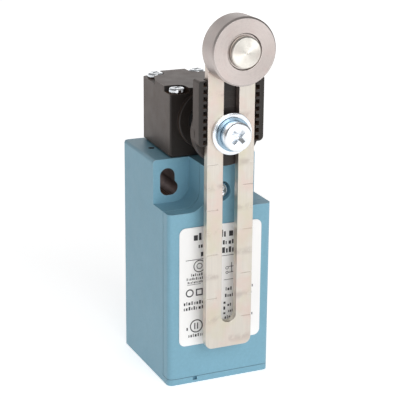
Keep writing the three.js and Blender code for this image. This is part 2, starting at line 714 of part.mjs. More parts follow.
function contactBase() {
  const channelX = [-CHANNEL_HALF_WIDTH, CHANNEL_HALF_WIDTH];
  const channelY = [BASE_FRONT_Y - PAST, CHANNEL_BACK_Y];
  const spaces = [NC_LEVEL, NO_LEVEL].flatMap((level) =>
    [-1, 1].map((side) => contactSpace(level, side)),
  );
  return cut(
    block([-BASE_HALF_WIDTH, BASE_HALF_WIDTH], [BASE_FRONT_Y, BASE_BACK_Y], [BASE_BOTTOM, BASE_TOP]),
    block(channelX, channelY, [CHANNEL_FLOOR, BASE_TOP + PAST]),
    ...spaces,
  );
}

function contactCarrier() {
  const window = ({ window: height }) =>
    block([-BASE_HALF_WIDTH, BASE_HALF_WIDTH], [BRIDGE_Y[0] - GAP, BRIDGE_Y[1] + GAP], height);
  return cut(
    join(
      block(
        [-CARRIER_HALF_WIDTH, CARRIER_HALF_WIDTH],
        [CARRIER_FRONT_Y, CARRIER_BACK_Y],
        [CARRIER_BOTTOM, CARRIER_TOP],
      ),
      roundZ(3, [CARRIER_TOP - PAST, PUSHER_STEM_END - GAP], 0, PUSHER_Y),
    ),
    window(NC_LEVEL),
    window(NO_LEVEL),
  );
}

function contactBridge({ bridge }) {
  const length = [-BRIDGE_HALF_LENGTH, BRIDGE_HALF_LENGTH];
  return block(length, BRIDGE_Y, [bridge, bridge + BRIDGE_THICKNESS]);
}

function bridgeSpring([bottom, top]) {
  const middleY = (BRIDGE_Y[0] + BRIDGE_Y[1]) / 2;
  return coilSpring(BRIDGE_SPRING, [bottom + 0.1, top - 0.1], 0, middleY);
}

// A fixed contact: a blade that runs into the base, and a tab in front that takes the wire.
function fixedContact({ blade, screw }, side) {
  const tabZ = screw > blade ? [blade, screw + 2.6] : [screw - 2.6, blade + BLADE_THICKNESS];
  return cut(
    join(
      block(mirrored(BLADE_X, side), [TAB_FRONT_Y, BLADE_BACK_Y], [blade, blade + BLADE_THICKNESS]),
      block(mirrored(BLADE_X, side), [TAB_FRONT_Y, TAB_BACK_Y], tabZ),
    ),
    roundY(TERMINAL_HOLE_RADIUS, [TAB_FRONT_Y - PAST, TAB_BACK_Y + PAST], side * TERMINAL_X, screw),
  );
}

function terminalPlate({ screw }, side) {
  const x = [TERMINAL_X - TERMINAL_HALF_WIDTH, TERMINAL_X + TERMINAL_HALF_WIDTH];
  const y = [TAB_FRONT_Y - 1.1, TAB_FRONT_Y - 0.3];
  const z = [screw - TERMINAL_HALF_HEIGHT, screw + TERMINAL_HALF_HEIGHT];
  return cut(
    block(mirrored(x, side), y, z),
    roundY(TERMINAL_HOLE_RADIUS, [y[0] - PAST, y[1] + PAST], side * TERMINAL_X, screw),
  );
}

function terminalScrew({ screw }, side) {
  const seat = TAB_FRONT_Y - 1.3;
  const { headRadius, headHeight, shankRadius, end } = TERMINAL_SCREW;
  const recess = { reach: 1.5, width: 0.7, depth: 1 };
  const made = screwAlongY(headRadius, shankRadius, { front: seat - headHeight, seat, end }, recess);
  return made.translate([side * TERMINAL_X, 0, screw]);
}

// ---------------------------------------------------------------- lever assembly

// One of the holder's two rails, notched along its inner edge.
function holderRail(side) {
  const outline = roundedOutline([
    { x: RAIL_INNER, y: RAIL_BOTTOM, r: 0.4 },
    { x: RAIL_OUTER, y: RAIL_BOTTOM, r: 1.4 },
    { x: RAIL_OUTER, y: RAIL_TOP, r: 0.7 },
    { x: RAIL_INNER, y: RAIL_TOP, r: 0.4 },
  ]);
  const notchX = [RAIL_INNER - PAST, RAIL_INNER + NOTCH_DEPTH];
  const notches = Array.from({ length: NOTCH_COUNT }, (_, i) => {
    const z = RAIL_BOTTOM + 1 + i * NOTCH_PITCH;
    const height = [z - NOTCH_HEIGHT / 2, z + NOTCH_HEIGHT / 2];
    return block(notchX, [RAIL_FRONT_Y - PAST, HOLDER_DISC_FRONT_Y], height);
  });
  const rail = cut(plateY(outline, [RAIL_FRONT_Y, RAIL_BACK_Y]), ...notches);
  return side > 0 ? rail : rail.mirror([1, 0, 0]);
}

// A disc and hub on the shaft, with a plate in front that carries the rails.
function leverHolder() {
  const shaftBore = [SHAFT_FRONT_Y - GAP, HOLDER_HUB_BACK_Y + PAST];
  const plateX = [-RAIL_INNER - PAST, RAIL_INNER + PAST];
  return cut(
    join(
      roundY(HOLDER_DISC_RADIUS, [HOLDER_DISC_FRONT_Y, HOLDER_DISC_BACK_Y]),
      roundY(HOLDER_HUB_RADIUS, [HOLDER_DISC_BACK_Y - PAST, HOLDER_HUB_BACK_Y]),
      block(plateX, [HOLDER_DISC_FRONT_Y, RAIL_BACK_Y], [RAIL_BOTTOM, RAIL_TOP]),
      holderRail(-1),
      holderRail(1),
    ),
    roundY(SHAFT_RADIUS + RUNNING_FIT, shaftBore),
    roundY(CLAMP_SHANK_RADIUS + GAP, [HOLDER_DISC_FRONT_Y - PAST, HOLDER_DISC_BACK_Y]),
  );
}

function slottedLever() {
  const outline = new THREE.Shape();
  outline.moveTo(-LEVER_HALF_WIDTH + LEVER_CORNER, LEVER_BOTTOM);
  outline.lineTo(LEVER_HALF_WIDTH - LEVER_CORNER, LEVER_BOTTOM);
  outline.quadraticCurveTo(
    LEVER_HALF_WIDTH,
    LEVER_BOTTOM,
    LEVER_HALF_WIDTH,
    LEVER_BOTTOM + LEVER_CORNER,
  );
  outline.lineTo(LEVER_HALF_WIDTH, ROLLER_HEIGHT);
  outline.absarc(0, ROLLER_HEIGHT, LEVER_HALF_WIDTH, 0, Math.PI);
  outline.lineTo(-LEVER_HALF_WIDTH, LEVER_BOTTOM + LEVER_CORNER);
  outline.quadraticCurveTo(
    -LEVER_HALF_WIDTH,
    LEVER_BOTTOM,
    -LEVER_HALF_WIDTH + LEVER_CORNER,
    LEVER_BOTTOM,
  );
  const slot = new THREE.Path();
  slot.moveTo(-SLOT_HALF_WIDTH, SLOT_BOTTOM + SLOT_HALF_WIDTH);
  slot.absarc(0, SLOT_BOTTOM + SLOT_HALF_WIDTH, SLOT_HALF_WIDTH, Math.PI, 2 * Math.PI);
  slot.lineTo(SLOT_HALF_WIDTH, SLOT_TOP - SLOT_HALF_WIDTH);
  slot.absarc(0, SLOT_TOP - SLOT_HALF_WIDTH, SLOT_HALF_WIDTH, 0, Math.PI);
  slot.closePath();
  outline.holes.push(slot);
  const thickness = [LEVER_FRONT_Y, LEVER_BACK_Y];
  const pinHole = [LEVER_FRONT_Y - PAST, LEVER_BACK_Y + PAST];
  return cut(
    plateY(outline, thickness),
    roundY(PIN_SHANK_RADIUS + RUNNING_FIT, pinHole, 0, ROLLER_HEIGHT),
  );
}

function flatWasher() {
  return ringY(CLAMP_SHANK_RADIUS + GAP, FLAT_WASHER.radius, FLAT_WASHER.y);
}

// A split ring.
function springWasher() {
  const { radius, y, splitHalfWidth } = SPRING_WASHER;
  const ring = ringY(CLAMP_SHANK_RADIUS + GAP, radius, y);
  const splitY = [y[0] - PAST, y[1] + PAST];
  return cut(ring, block([0, 2 * radius], splitY, [-splitHalfWidth, splitHalfWidth]));
}

function clampScrew() {
  const lengths = { front: CLAMP_HEAD_FRONT_Y, seat: CLAMP_HEAD_BACK_Y, end: CLAMP_SHANK_END_Y };
  const recess = { reach: 2.1, width: 1, depth: 1.5 };
  return screwAlongY(CLAMP_HEAD_RADIUS, CLAMP_SHANK_RADIUS, lengths, recess);
}

function roller() {
  const bore = PIN_SHANK_RADIUS + RUNNING_FIT;
  const recessFloor = ROLLER_FRONT_Y + ROLLER_RECESS.depth;
  const profile = [
    [bore, ROLLER_BACK_Y],
    [bore, recessFloor],
    [ROLLER_RECESS.radius, recessFloor],
    [ROLLER_RECESS.radius, ROLLER_FRONT_Y],
    [ROLLER_RADIUS - ROLLER_CHAMFER, ROLLER_FRONT_Y],
    [ROLLER_RADIUS, ROLLER_FRONT_Y + ROLLER_CHAMFER],
    [ROLLER_RADIUS, ROLLER_BACK_Y - ROLLER_CHAMFER],
    [ROLLER_RADIUS - ROLLER_CHAMFER, ROLLER_BACK_Y],
    [bore, ROLLER_BACK_Y],
  ];
  return turnedY(profile);
}

function rollerSpacer() {
  return ringY(PIN_SHANK_RADIUS + RUNNING_FIT, PIN_SHANK_RADIUS + 1.8, SPACER_Y);
}

// A rivet: its head sits in the roller's sunk ring, its tail is peened behind the lever.
function rollerPin() {
  const headSeat = ROLLER_FRONT_Y + ROLLER_RECESS.depth - GAP;
  const tailRadius = PIN_SHANK_RADIUS + 0.8;
  const profile = [
    [0, PIN_FRONT_Y],
    [PIN_HEAD_RADIUS - 0.5, PIN_FRONT_Y],
    [PIN_HEAD_RADIUS, PIN_FRONT_Y + 0.5],
    [PIN_HEAD_RADIUS, headSeat],
    [PIN_SHANK_RADIUS, headSeat],
    [PIN_SHANK_RADIUS, LEVER_BACK_Y + 0.1],
    [tailRadius, LEVER_BACK_Y + 0.1],
    [tailRadius - 0.4, LEVER_BACK_Y + 0.8],
    [0, LEVER_BACK_Y + 0.8],
  ];
  return turnedY(profile);
}

// ---------------------------------------------------------------- assembly

const bodyGroup = group(
  piece("body_housing", bodyHousing(), bluePlastic),
  piece("front_cover", frontCover(), bluePlastic),
  piece("cover_gasket", coverGasket(), rubber),
  piece("cover_screw", coverScrew(), brightZinc),
  piece("rating_label", ratingLabel(), labelFilm),
);

const headGroup = group(
  piece("head_housing", headHousing(), blackPlastic),
  piece("head_gasket", headGasket(), rubber),
  ...HEAD_SCREWS.map((place, i) => piece(`head_screw_${i + 1}`, headScrew(place), brightZinc)),
  piece("pusher", pusher(), ivoryPlastic),
  piece("spring_seat", springSeat(), springSteel),
  piece("return_spring", returnSpring(), springSteel),
);

const bearingGroup = group(
  piece("shaft_bushing", shaftBushing(), bronze),
  piece("shaft_seal", shaftSeal(), rubber),
);
bearingGroup.position.z = SHAFT_Z;

const contactGroup = group(
  piece("contact_base", contactBase(), innerPlastic),
  piece("contact_carrier", contactCarrier(), ivoryPlastic),
  piece("nc_bridge", contactBridge(NC_LEVEL), brass),
  piece("no_bridge", contactBridge(NO_LEVEL), brass),
  piece("nc_bridge_spring", bridgeSpring([NC_LEVEL.window[0], NC_LEVEL.bridge]), springSteel),
  piece(
    "no_bridge_spring",
    bridgeSpring([NO_LEVEL.bridge + BRIDGE_THICKNESS, NO_LEVEL.window[1]]),
    springSteel,
  ),
  piece(
    "carrier_spring",
    coilSpring(CARRIER_SPRING, [CHANNEL_FLOOR + 0.1, CARRIER_BOTTOM - 0.1], 0, CARRIER_Y),
    springSteel,
  ),
);
for (const [levelName, level] of [["nc", NC_LEVEL], ["no", NO_LEVEL]]) {
  for (const [sideName, side] of [["left", -1], ["right", 1]]) {
    const suffix = `${levelName}_${sideName}`;
    contactGroup.add(
      piece(`fixed_contact_${suffix}`, fixedContact(level, side), brass),
      piece(`terminal_plate_${suffix}`, terminalPlate(level, side), brightZinc),
      piece(`terminal_screw_${suffix}`, terminalScrew(level, side), brightZinc),
    );
  }
}

const rollerGroup = group(
  piece("roller", roller(), turnedSteel),
  piece("roller_spacer", rollerSpacer(), springSteel),
  piece("roller_pin", rollerPin(), turnedSteel),
);
rollerGroup.position.z = ROLLER_HEIGHT;

const leverGroup = group(
  piece("lever_holder", leverHolder(), blackPlastic),
  piece("slotted_lever", slottedLever(), nickelPlate),
  piece("flat_washer", flatWasher(), brightZinc),
  piece("spring_washer", springWasher(), brightZinc),
  piece("clamp_screw", clampScrew(), brightZinc),
  rollerGroup,
);

const shaftGroup = group(
  piece("rotary_shaft", rotaryShaft(), turnedSteel),
  piece("operating_cam", operatingCam(), springSteel),
  piece("shaft_clip", shaftClip(), springSteel),
  leverGroup,
);
shaftGroup.position.z = SHAFT_Z;

const limitSwitch = group(bodyGroup, headGroup, bearingGroup, contactGroup, shaftGroup);

export default limitSwitch;
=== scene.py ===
"""Looks for the limit switch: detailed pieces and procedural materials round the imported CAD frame.

Lengths in this file are millimetres until a mesh is made. +Z is up, the front faces -Y.
"""

import json
import math

import bmesh
import bpy
from mathutils import Matrix, Vector
from mathutils.geometry import tessellate_polygon

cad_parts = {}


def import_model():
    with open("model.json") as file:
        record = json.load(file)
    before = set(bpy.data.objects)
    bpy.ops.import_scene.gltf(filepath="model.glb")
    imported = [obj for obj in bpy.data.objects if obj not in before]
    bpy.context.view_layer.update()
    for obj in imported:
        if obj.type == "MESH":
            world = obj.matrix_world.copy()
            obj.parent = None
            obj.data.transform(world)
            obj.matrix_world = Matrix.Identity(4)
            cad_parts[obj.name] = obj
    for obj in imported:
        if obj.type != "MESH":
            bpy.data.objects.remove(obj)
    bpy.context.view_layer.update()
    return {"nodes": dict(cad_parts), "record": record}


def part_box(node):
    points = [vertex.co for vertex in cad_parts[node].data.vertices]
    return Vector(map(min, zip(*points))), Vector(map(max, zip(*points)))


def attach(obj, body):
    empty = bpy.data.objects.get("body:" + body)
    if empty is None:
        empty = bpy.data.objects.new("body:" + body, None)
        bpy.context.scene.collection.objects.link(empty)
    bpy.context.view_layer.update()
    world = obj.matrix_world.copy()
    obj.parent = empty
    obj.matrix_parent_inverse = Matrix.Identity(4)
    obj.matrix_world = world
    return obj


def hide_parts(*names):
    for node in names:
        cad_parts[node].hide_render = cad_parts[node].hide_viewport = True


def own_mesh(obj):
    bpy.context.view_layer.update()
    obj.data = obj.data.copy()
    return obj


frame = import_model()

MM = 0.001

# ---------------------------------------------------------------- dimensions

FINE = 6  # degrees between the points of a visible arc

# Places outside the whole body, where a cutter may start or end
OUTSIDE = (-20, 20)
AHEAD = -40
BEHIND = 5
BENEATH = -60
PAST = 2  # how far a cutter runs past the face that it opens

BODY_HALF_WIDTH = 15
BODY_FRONT = -33.6
BODY_TOP = 8
BODY_BOTTOM = -53
REAR_CORNER = 2
FRONT_CORNER = 1.5
TOP_EDGE = 1

# The seam: the body's edge is behind it and below it, the cover's in front of it and above it
SEAM_BACK = -29.62
SEAM_FRONT = -29.88
LIP_TOP = -51.27
SEAM_LOW = -51.13
PRY_NOTCH_X = (-7.8, -6.6)
PRY_NOTCH_Z = (-52.3, LIP_TOP + 0.3)

# The space for contacts and wires behind the cover, and the gasket's seat round it
CAVITY_X = (-12.4, 12.4)
CAVITY_Z = (-44, -6.3)
CAVITY_BACK = -2.6
COVER_WALL = 1.8
GASKET_X = (-13.7, 13.7)
GASKET_Z = (-45.3, -5.3)
GASKET_SEAT = SEAM_BACK + 0.9

PAD_FACE = -22.8
LEDGE = -4.15
COLUMN_HALF_WIDTH = 4.6
PAD_CORNER = 4.5

SLOT_X = 10.85
SLOT_RISE = 3.3
ROUND_HOLE_X = 10
HOLE_RADIUS = 2.12

COVER_SCREW_Z = 0.8
COVER_SCREW_HOLE = 1.7
COUNTERBORE_RADIUS = 2.8
COUNTERBORE_DEPTH = 2.4

CONDUIT_Y = -16
CONDUIT_RADIUS = 9.3
CONDUIT_PITCH = 1.5
CONDUIT_END = -43
CONDUIT_CHAMFER = 1.1
THREAD_DEPTH = 0.75

LABEL_HALF_WIDTH = 12
LABEL_LOW = -41.8
LABEL_HIGH = -8.2
LABEL_CORNER = 1.8
LABEL_FACE = -33.85
LABEL_THICKNESS = 0.2
LABEL_SEAT_GAP = 0.25

# The pusher's bore, the square chamber of its spring, and the dimple that marks the head's setting
PUSHER_Y = -12
PUSHER_BORE = 2.35
CHAMBER_HALF_WIDTH = 5.2
CHAMBER_FLOOR = -2.5
CARRIER_SPRING_Y = -12.25
INDEX_MARK = (-10.7, -11)
INDEX_RADIUS = 0.9
INDEX_DEPTH = 1.6

HEAD_LOW = 8.6
HEAD_HIGH = 26.8
HEAD_FRONT_HALF_WIDTH = 10.1
HEAD_BACK_HALF_WIDTH = 9
HEAD_BACK = -0.3
HEAD_FRONT_CORNER = 0.4
HEAD_BACK_CORNER = 1.2
# The head's inner space along X, Y and Z
HEAD_CAVITY = ((-5.4, 5.4), (-18.6, -5.2), (HEAD_LOW - PAST, 24.4))
BOSS_RADIUS = 8
BOSS_FRONT = -24
SEAL_RADIUS = 5.2
# Bores about the shaft's axis, for the seal, the shaft, its journal and a mark at the back:
# radius, front end and rear end
HEAD_BORES = [(SEAL_RADIUS, -30, -19.5), (4.5, -20, -18), (2.65, -6, -2.5), (1.7, -0.65, PAST)]
# Each head screw's centre and its pocket's floor, with how far the pocket runs towards the
# middle of the head, first beside the screw and then at POCKET_SPREAD outside it
HEAD_SCREWS = [
    (-7.1, -20.2, 25.3, 2, 2),
    (7.1, -20.2, 25.3, 2, 2),
    (6.2, -2.8, 25.8, 2.45, 15),
    (-6.2, -2.8, 25.8, 2.45, 15),
]
HEAD_SCREW_RADIUS = 2.15
HEAD_SCREW_HEIGHT = 1.2
HEAD_SCREW_HOLE = 1.35
POCKET_GAP = 0.3
POCKET_SPREAD = 6
POCKET_BEND = 1.2  # where the pocket's edge turns outwards, beside the screw's centre

AXIS_Z = 18
SHAFT_RADIUS = 4
SHAFT_BORE = 4.12  # of the seal and the holder, which sit round the shaft
RAIL_LOW = AXIS_Z - 2.8
RAIL_HIGH = AXIS_Z + 14.3
RAIL_FRONT = -39.3
RAIL_BACK = -35.6

LEVER_HALF_WIDTH = 6.65
LEVER_FRONT = -39.3
LEVER_BACK = -37.2
LEVER_LOW = AXIS_Z - 59.25
LEVER_CORNER = 2
SLOT_LOW = AXIS_Z - 52.2
SLOT_HIGH = AXIS_Z + 16.5
SLOT_HALF_WIDTH = 2.15
TICK_PITCH = 12.3
FIRST_TICK = 10.1
TICK = (3.1, 0.22)  # length and depth of a graduation
TRACE = (1.1, 0.06)  # and of the faint trace opposite it

ROLLER_Z = AXIS_Z + 22.5
PIN_BORE = 2.72

# ---------------------------------------------------------------- outlines and meshes


def arc_points(centre, radius, start, sweep, step=FINE):
    """Points on an arc, both ends included. Angles are in radians."""
    count = max(1, math.ceil(abs(sweep) / math.radians(step)))
    angles = [start + sweep * i / count for i in range(count + 1)]
    return [
        (centre[0] + radius * math.cos(a), centre[1] + radius * math.sin(a))
        for a in angles
    ]


def rounded(corners, step=FINE):
    """A closed outline through (x, y, radius) corners, with a true arc in each."""
    points = []
    for i, (x, y, radius) in enumerate(corners):
        if radius <= 0:
            points.append((x, y))
            continue
        corner = Vector((x, y))
        before = (Vector(corners[i - 1][:2]) - corner).normalized()
        after = (Vector(corners[(i + 1) % len(corners)][:2]) - corner).normalized()
        half = before.angle(after) / 2
        centre = corner + (before + after).normalized() * (radius / math.sin(half))
        first = corner + before * (radius / math.tan(half)) - centre
        last = corner + after * (radius / math.tan(half)) - centre
        start = math.atan2(first.y, first.x)
        sweep = math.atan2(last.y, last.x) - start
        sweep = (sweep + math.pi) % (2 * math.pi) - math.pi
        points += arc_points(centre, radius, start, sweep, step)
    return points


def rectangle(x0, x1, y0, y1, radius=0.0):
    return rounded([(x0, y0, radius), (x1, y0, radius), (x1, y1, radius), (x0, y1, radius)])


def circle(x, y, radius, step=FINE):
    return arc_points((x, y), radius, 0, 2 * math.pi, step)[:-1]


def stadium(x, low, high, radius):
    """An upright slot: two half circles joined by straight sides. low and high are its ends."""
    bottom = arc_points((x, low + radius), radius, math.pi, math.pi)
    return bottom + arc_points((x, high - radius), radius, 0, math.pi)


def signed_area(points):
    pairs = zip(points, points[1:] + points[:1])
    return sum(x0 * y1 - x1 * y0 for (x0, y0), (x1, y1) in pairs) / 2


def inset(points, distance):
    """The outline moved to its left by a distance, so an anticlockwise one shrinks."""
    moved = []
    for i, point in enumerate(points):
        here = Vector(point)
        before = (here - Vector(points[i - 1])).normalized()
        after = (Vector(points[(i + 1) % len(points)]) - here).normalized()
        left_before = Vector((-before.y, before.x))
        left_after = Vector((-after.y, after.x))
        miter = (left_before + left_after) / max(0.3, 1 + left_before.dot(left_after))
        moved.append(tuple(here + miter * distance))
    return moved


def link_object(name, data):
    made = bpy.data.objects.new(name, data)
    bpy.context.scene.collection.objects.link(made)
    return made


def new_object(name, vertices, faces):
    """A mesh object from millimetre coordinates, with doubles merged and normals outwards."""
    mesh = bpy.data.meshes.new(name)
    mesh.from_pydata([Vector(v) * MM for v in vertices], [], faces)
    build = bmesh.new()
    build.from_mesh(mesh)
    bmesh.ops.remove_doubles(build, verts=build.verts, dist=1e-7)
    bmesh.ops.recalc_face_normals(build, faces=build.faces)
    build.to_mesh(mesh)
    build.free()
    return link_object(name, mesh)


def along_y(u, v, depth):
    return (u, depth, v)


def along_z(u, v, depth):
    return (u, v, depth)


def plate(name, outer, holes, low, high, place=along_y, edge=0.0, steps=3):
    """A plate between two depths with round edges all round its outline and its holes."""
    loops = [outer if signed_area(outer) > 0 else outer[::-1]]
    loops += [hole if signed_area(hole) < 0 else hole[::-1] for hole in holes]
    levels = [(low, 0.0), (high, 0.0)]
    if edge > 0:
        turns = [math.pi / 2 * i / steps for i in range(steps + 1)]
        start = [(low + edge * (1 - math.sin(t)), edge * (1 - math.cos(t))) for t in turns]
        end = [(high - edge * (1 - math.sin(t)), edge * (1 - math.cos(t))) for t in turns]
        levels = start[::-1] + end
    vertices, faces = [], []
    caps = {0: [], len(levels) - 1: []}
    for loop in loops:
        rings = []
        for k, (depth, shrink) in enumerate(levels):
            points = inset(loop, shrink) if shrink > 0 else loop
            rings.append(range(len(vertices), len(vertices) + len(points)))
            vertices += [place(u, v, depth) for u, v in points]
            if k in caps:
                caps[k].append((points, rings[-1]))
        for below, above in zip(rings, rings[1:]):
            count = len(below)
            for i in range(count):
                j = (i + 1) % count
                faces.append((below[i], below[j], above[j], above[i]))
    for parts in caps.values():
        flat = [[Vector((u, v, 0)) for u, v in points] for points, _ in parts]
        numbers = [number for _, ring in parts for number in ring]
        faces += [tuple(numbers[i] for i in triangle) for triangle in tessellate_polygon(flat)]
    return new_object(name, vertices, faces)


def lathe(name, profile, centre=(0, 0), place=along_y, segments=96):
    """A closed (radius, depth) profile turned about an axis through the centre."""
    vertices, faces, rings = [], [], []
    for radius, depth in profile:
        if radius < 1e-6:
            rings.append([len(vertices)] * segments)
            vertices.append(place(centre[0], centre[1], depth))
            continue
        rings.append(list(range(len(vertices), len(vertices) + segments)))
        for i in range(segments):
            angle = 2 * math.pi * i / segments
            u = centre[0] + radius * math.cos(angle)
            v = centre[1] + radius * math.sin(angle)
            vertices.append(place(u, v, depth))
    for first, second in zip(rings, rings[1:] + rings[:1]):
        for i in range(segments):
            j = (i + 1) % segments
            face = tuple(dict.fromkeys((first[i], first[j], second[j], second[i])))
            if len(face) > 2:
                faces.append(face)
    return new_object(name, vertices, faces)


def tube(name, rings):
    """A solid swept through rings that all have as many points, with both ends closed."""
    size = len(rings[0])
    last = (len(rings) - 1) * size
    faces = [tuple(range(size)), tuple(range(last, last + size))]
    faces += [
        (start + i, start + (i + 1) % size, start + size + (i + 1) % size, start + size + i)
        for start in range(0, last, size)
        for i in range(size)
    ]
    return new_object(name, [point for points in rings for point in points], faces)


def box(xs, ys, zs):
    return plate("tool", rectangle(*xs, *ys), [], *zs, place=along_z)


def bore(x, z, radius, low, high):
    """The cutter of a round hole along Y."""
    return plate("tool", circle(x, z, radius), [], low, high)


def upright_bore(x, y, radius, low, high, step=FINE):
    """The cutter of a round hole along Z."""
    return plate("tool", circle(x, y, radius, step), [], low, high, place=along_z)


def boolean(target, operation, *tools):
    """Cuts or joins the tools with the target, and removes them."""
    for tool in tools:
        modifier = target.modifiers.new("boolean", "BOOLEAN")
        modifier.operation = operation
        modifier.solver = "EXACT"
        modifier.object = tool
    bake(target)
    for tool in tools:
        bpy.data.objects.remove(tool)
    return target


def bake(target):
    """Applies the modifiers of an object to its mesh."""
    bpy.context.view_layer.update()
    evaluated = target.evaluated_get(bpy.context.evaluated_depsgraph_get())
    mesh = bpy.data.meshes.new_from_object(evaluated)
    target.modifiers.clear()
    target.data = mesh


def clean(target):
    """Merges what a boolean leaves behind, so that a bevel runs evenly."""
    build = bmesh.new()
    build.from_mesh(target.data)
    bmesh.ops.remove_doubles(build, verts=build.verts, dist=2e-6)
    bmesh.ops.dissolve_degenerate(build, edges=build.edges, dist=2e-6)
    bmesh.ops.dissolve_limit(
        build, angle_limit=math.radians(0.5), verts=build.verts, edges=build.edges
    )
    build.to_mesh(target.data)
    build.free()


def soften(target, width, segments=3, angle=38):
    """Rounds the edges sharper than the angle."""
    clean(target)
    modifier = target.modifiers.new("edges", "BEVEL")
    modifier.width = width * MM
    modifier.segments = segments
    modifier.limit_method = "ANGLE"
    modifier.angle_limit = math.radians(angle)
    bake(target)


def finish_piece(target, body, slot, replaced=(), look=None):
    """Smooth shading with crisp edges, body and slot. A look is a material other than the slot's."""
    mesh = target.data
    mesh.shade_smooth()
    mesh.set_sharp_from_angle(angle=math.radians(35))
    weighted = target.modifiers.new("normals", "WEIGHTED_NORMAL")
    weighted.keep_sharp = True
    mesh.materials.clear()
    mesh.materials.append(materials[look or slot])
    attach(target, body)
    if replaced:
        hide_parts(*replaced)


# ---------------------------------------------------------------- node materials


class Nodes:
    """Short ways to add and link the nodes of one material."""

    def __init__(self, name):
        self.material = bpy.data.materials.new(name)
        self.material.use_nodes = True
        self.tree = self.material.node_tree
        self.shader = self.tree.nodes["Principled BSDF"]
        self.place = self.add("ShaderNodeTexCoord").outputs["Object"]

    def add(self, kind, **settings):
        node = self.tree.nodes.new(kind)
        for key, value in settings.items():
            setattr(node, key, value)
        return node

    def link(self, source, target):
        if isinstance(source, bpy.types.NodeSocket):
            self.tree.links.new(source, target)
        else:
            target.default_value = source

    def scaled(self, scale, offset=(0, 0, 0)):
        node = self.add("ShaderNodeMapping")
        self.link(self.place, node.inputs["Vector"])
        node.inputs["Scale"].default_value = scale
        node.inputs["Location"].default_value = offset
        return node.outputs["Vector"]

    def noise(self, vector, scale, detail=4.0, roughness=0.55):
        node = self.add("ShaderNodeTexNoise")
        self.link(vector, node.inputs["Vector"])
        node.inputs["Scale"].default_value = scale
        node.inputs["Detail"].default_value = detail
        node.inputs["Roughness"].default_value = roughness
        return node.outputs["Fac"]

    def math(self, operation, *values):
        node = self.add("ShaderNodeMath", operation=operation)
        for value, socket in zip(values, node.inputs):
            self.link(value, socket)
        return node.outputs["Value"]

    def spread(self, value, low, high, start=0.0, end=1.0):
        """Maps start..end to low..high, held at the ends."""
        node = self.add("ShaderNodeMapRange")
        limits = (value, start, end, low, high)
        for name, item in zip(("Value", "From Min", "From Max", "To Min", "To Max"), limits):
            self.link(item, node.inputs[name])
        return node.outputs["Result"]

    def mix(self, factor, first, second):
        node = self.add("ShaderNodeMix", data_type="RGBA")
        self.link(factor, node.inputs["Factor"])
        # The colours are inputs 6 and 7 and output 2 of this node
        for value, socket in ((first, node.inputs[6]), (second, node.inputs[7])):
            self.link(value if isinstance(value, bpy.types.NodeSocket) else (*value, 1), socket)
        return node.outputs[2]

    def bump(self, height, strength, distance):
        node = self.add("ShaderNodeBump")
        self.link(height, node.inputs["Height"])
        node.inputs["Strength"].default_value = strength
        node.inputs["Distance"].default_value = distance * MM
        return node.outputs["Normal"]

    def edge_mask(self, radius):
        """0 on flat ground, rising to 1 near an edge of the mesh."""
        bevel = self.add("ShaderNodeBevel", samples=4)
        bevel.inputs["Radius"].default_value = radius * MM
        flat = self.add("ShaderNodeNewGeometry").outputs["Normal"]
        dot = self.add("ShaderNodeVectorMath", operation="DOT_PRODUCT")
        self.link(bevel.outputs["Normal"], dot.inputs[0])
        self.link(flat, dot.inputs[1])
        return self.spread(dot.outputs["Value"], 1.0, 0.0, 0.9, 0.995)

    def surface(self, **inputs):
        for name, value in inputs.items():
            self.link(value, self.shader.inputs[name.replace("_", " ")])
        return self.material


def shade(color, factor):
    return tuple(channel * factor for channel in color)


def moulded_plastic(name, color, roughness, grain, wear, specular=0.5, dust=0.0):
    """Moulded plastic: spark-eroded grain, faint flow clouds, paler rubbed edges, fine dust."""
    n = Nodes(name)
    clouds = n.noise(n.place, 110, 4)
    mottle = n.spread(n.noise(n.place, 1500, 3, 0.7), 0, 1, 0.35, 0.65)
    specks = n.spread(n.noise(n.place, 2600, 2), 0.0, 1.0, 0.66, 0.74)
    base = n.mix(clouds, shade(color, 0.93), shade(color, 1.06))
    base = n.mix(n.math("MULTIPLY", mottle, 0.35), base, shade(color, 0.82))
    base = n.mix(n.math("MULTIPLY", specks, 0.14), base, shade(color, 1.5))
    rub = n.math("MULTIPLY", n.edge_mask(0.35), n.spread(n.noise(n.place, 700, 3), 0.1, wear))
    pale = tuple(0.55 * channel + 0.3 for channel in color)
    base = n.mix(rub, base, pale)
    rough = n.spread(n.noise(n.place, 260, 5), roughness - 0.04, roughness + 0.05, 0.3, 0.7)
    fine = n.noise(n.place, 3800, 2)
    coarse = n.noise(n.place, 1100, 2)
    height = n.math("ADD", n.math("MULTIPLY", fine, 0.6), n.math("MULTIPLY", coarse, 0.4))
    normal = n.bump(height, grain, 0.03)
    return n.surface(
        Base_Color=base,
        Roughness=rough,
        Normal=normal,
        Specular_IOR_Level=specular,
        Sheen_Weight=dust,
        Sheen_Roughness=0.45,
        Sheen_Tint=(*BROWN_DUST, 1),
    )


def scale_smudges(n):
    """Dark handling smudges on each strip of the lever, midway between its graduations."""
    split = n.add("ShaderNodeSeparateXYZ")
    n.link(n.place, split.inputs["Vector"])
    right = n.math("GREATER_THAN", split.outputs["X"], 0.0)
    below = n.math("SUBTRACT", split.outputs["Z"], FIRST_TICK * MM)
    turns = n.math("DIVIDE", below, TICK_PITCH * MM)
    phase = n.math("FRACT", n.math("ADD", turns, n.math("MULTIPLY", right, 0.5)))
    near = n.spread(n.math("ABSOLUTE", n.math("SUBTRACT", phase, 0.5)), 1.0, 0.0, 0.02, 0.11)
    return n.math("MULTIPLY", near, n.spread(n.noise(n.place, 420, 4), 0.0, 0.8, 0.42, 0.62))


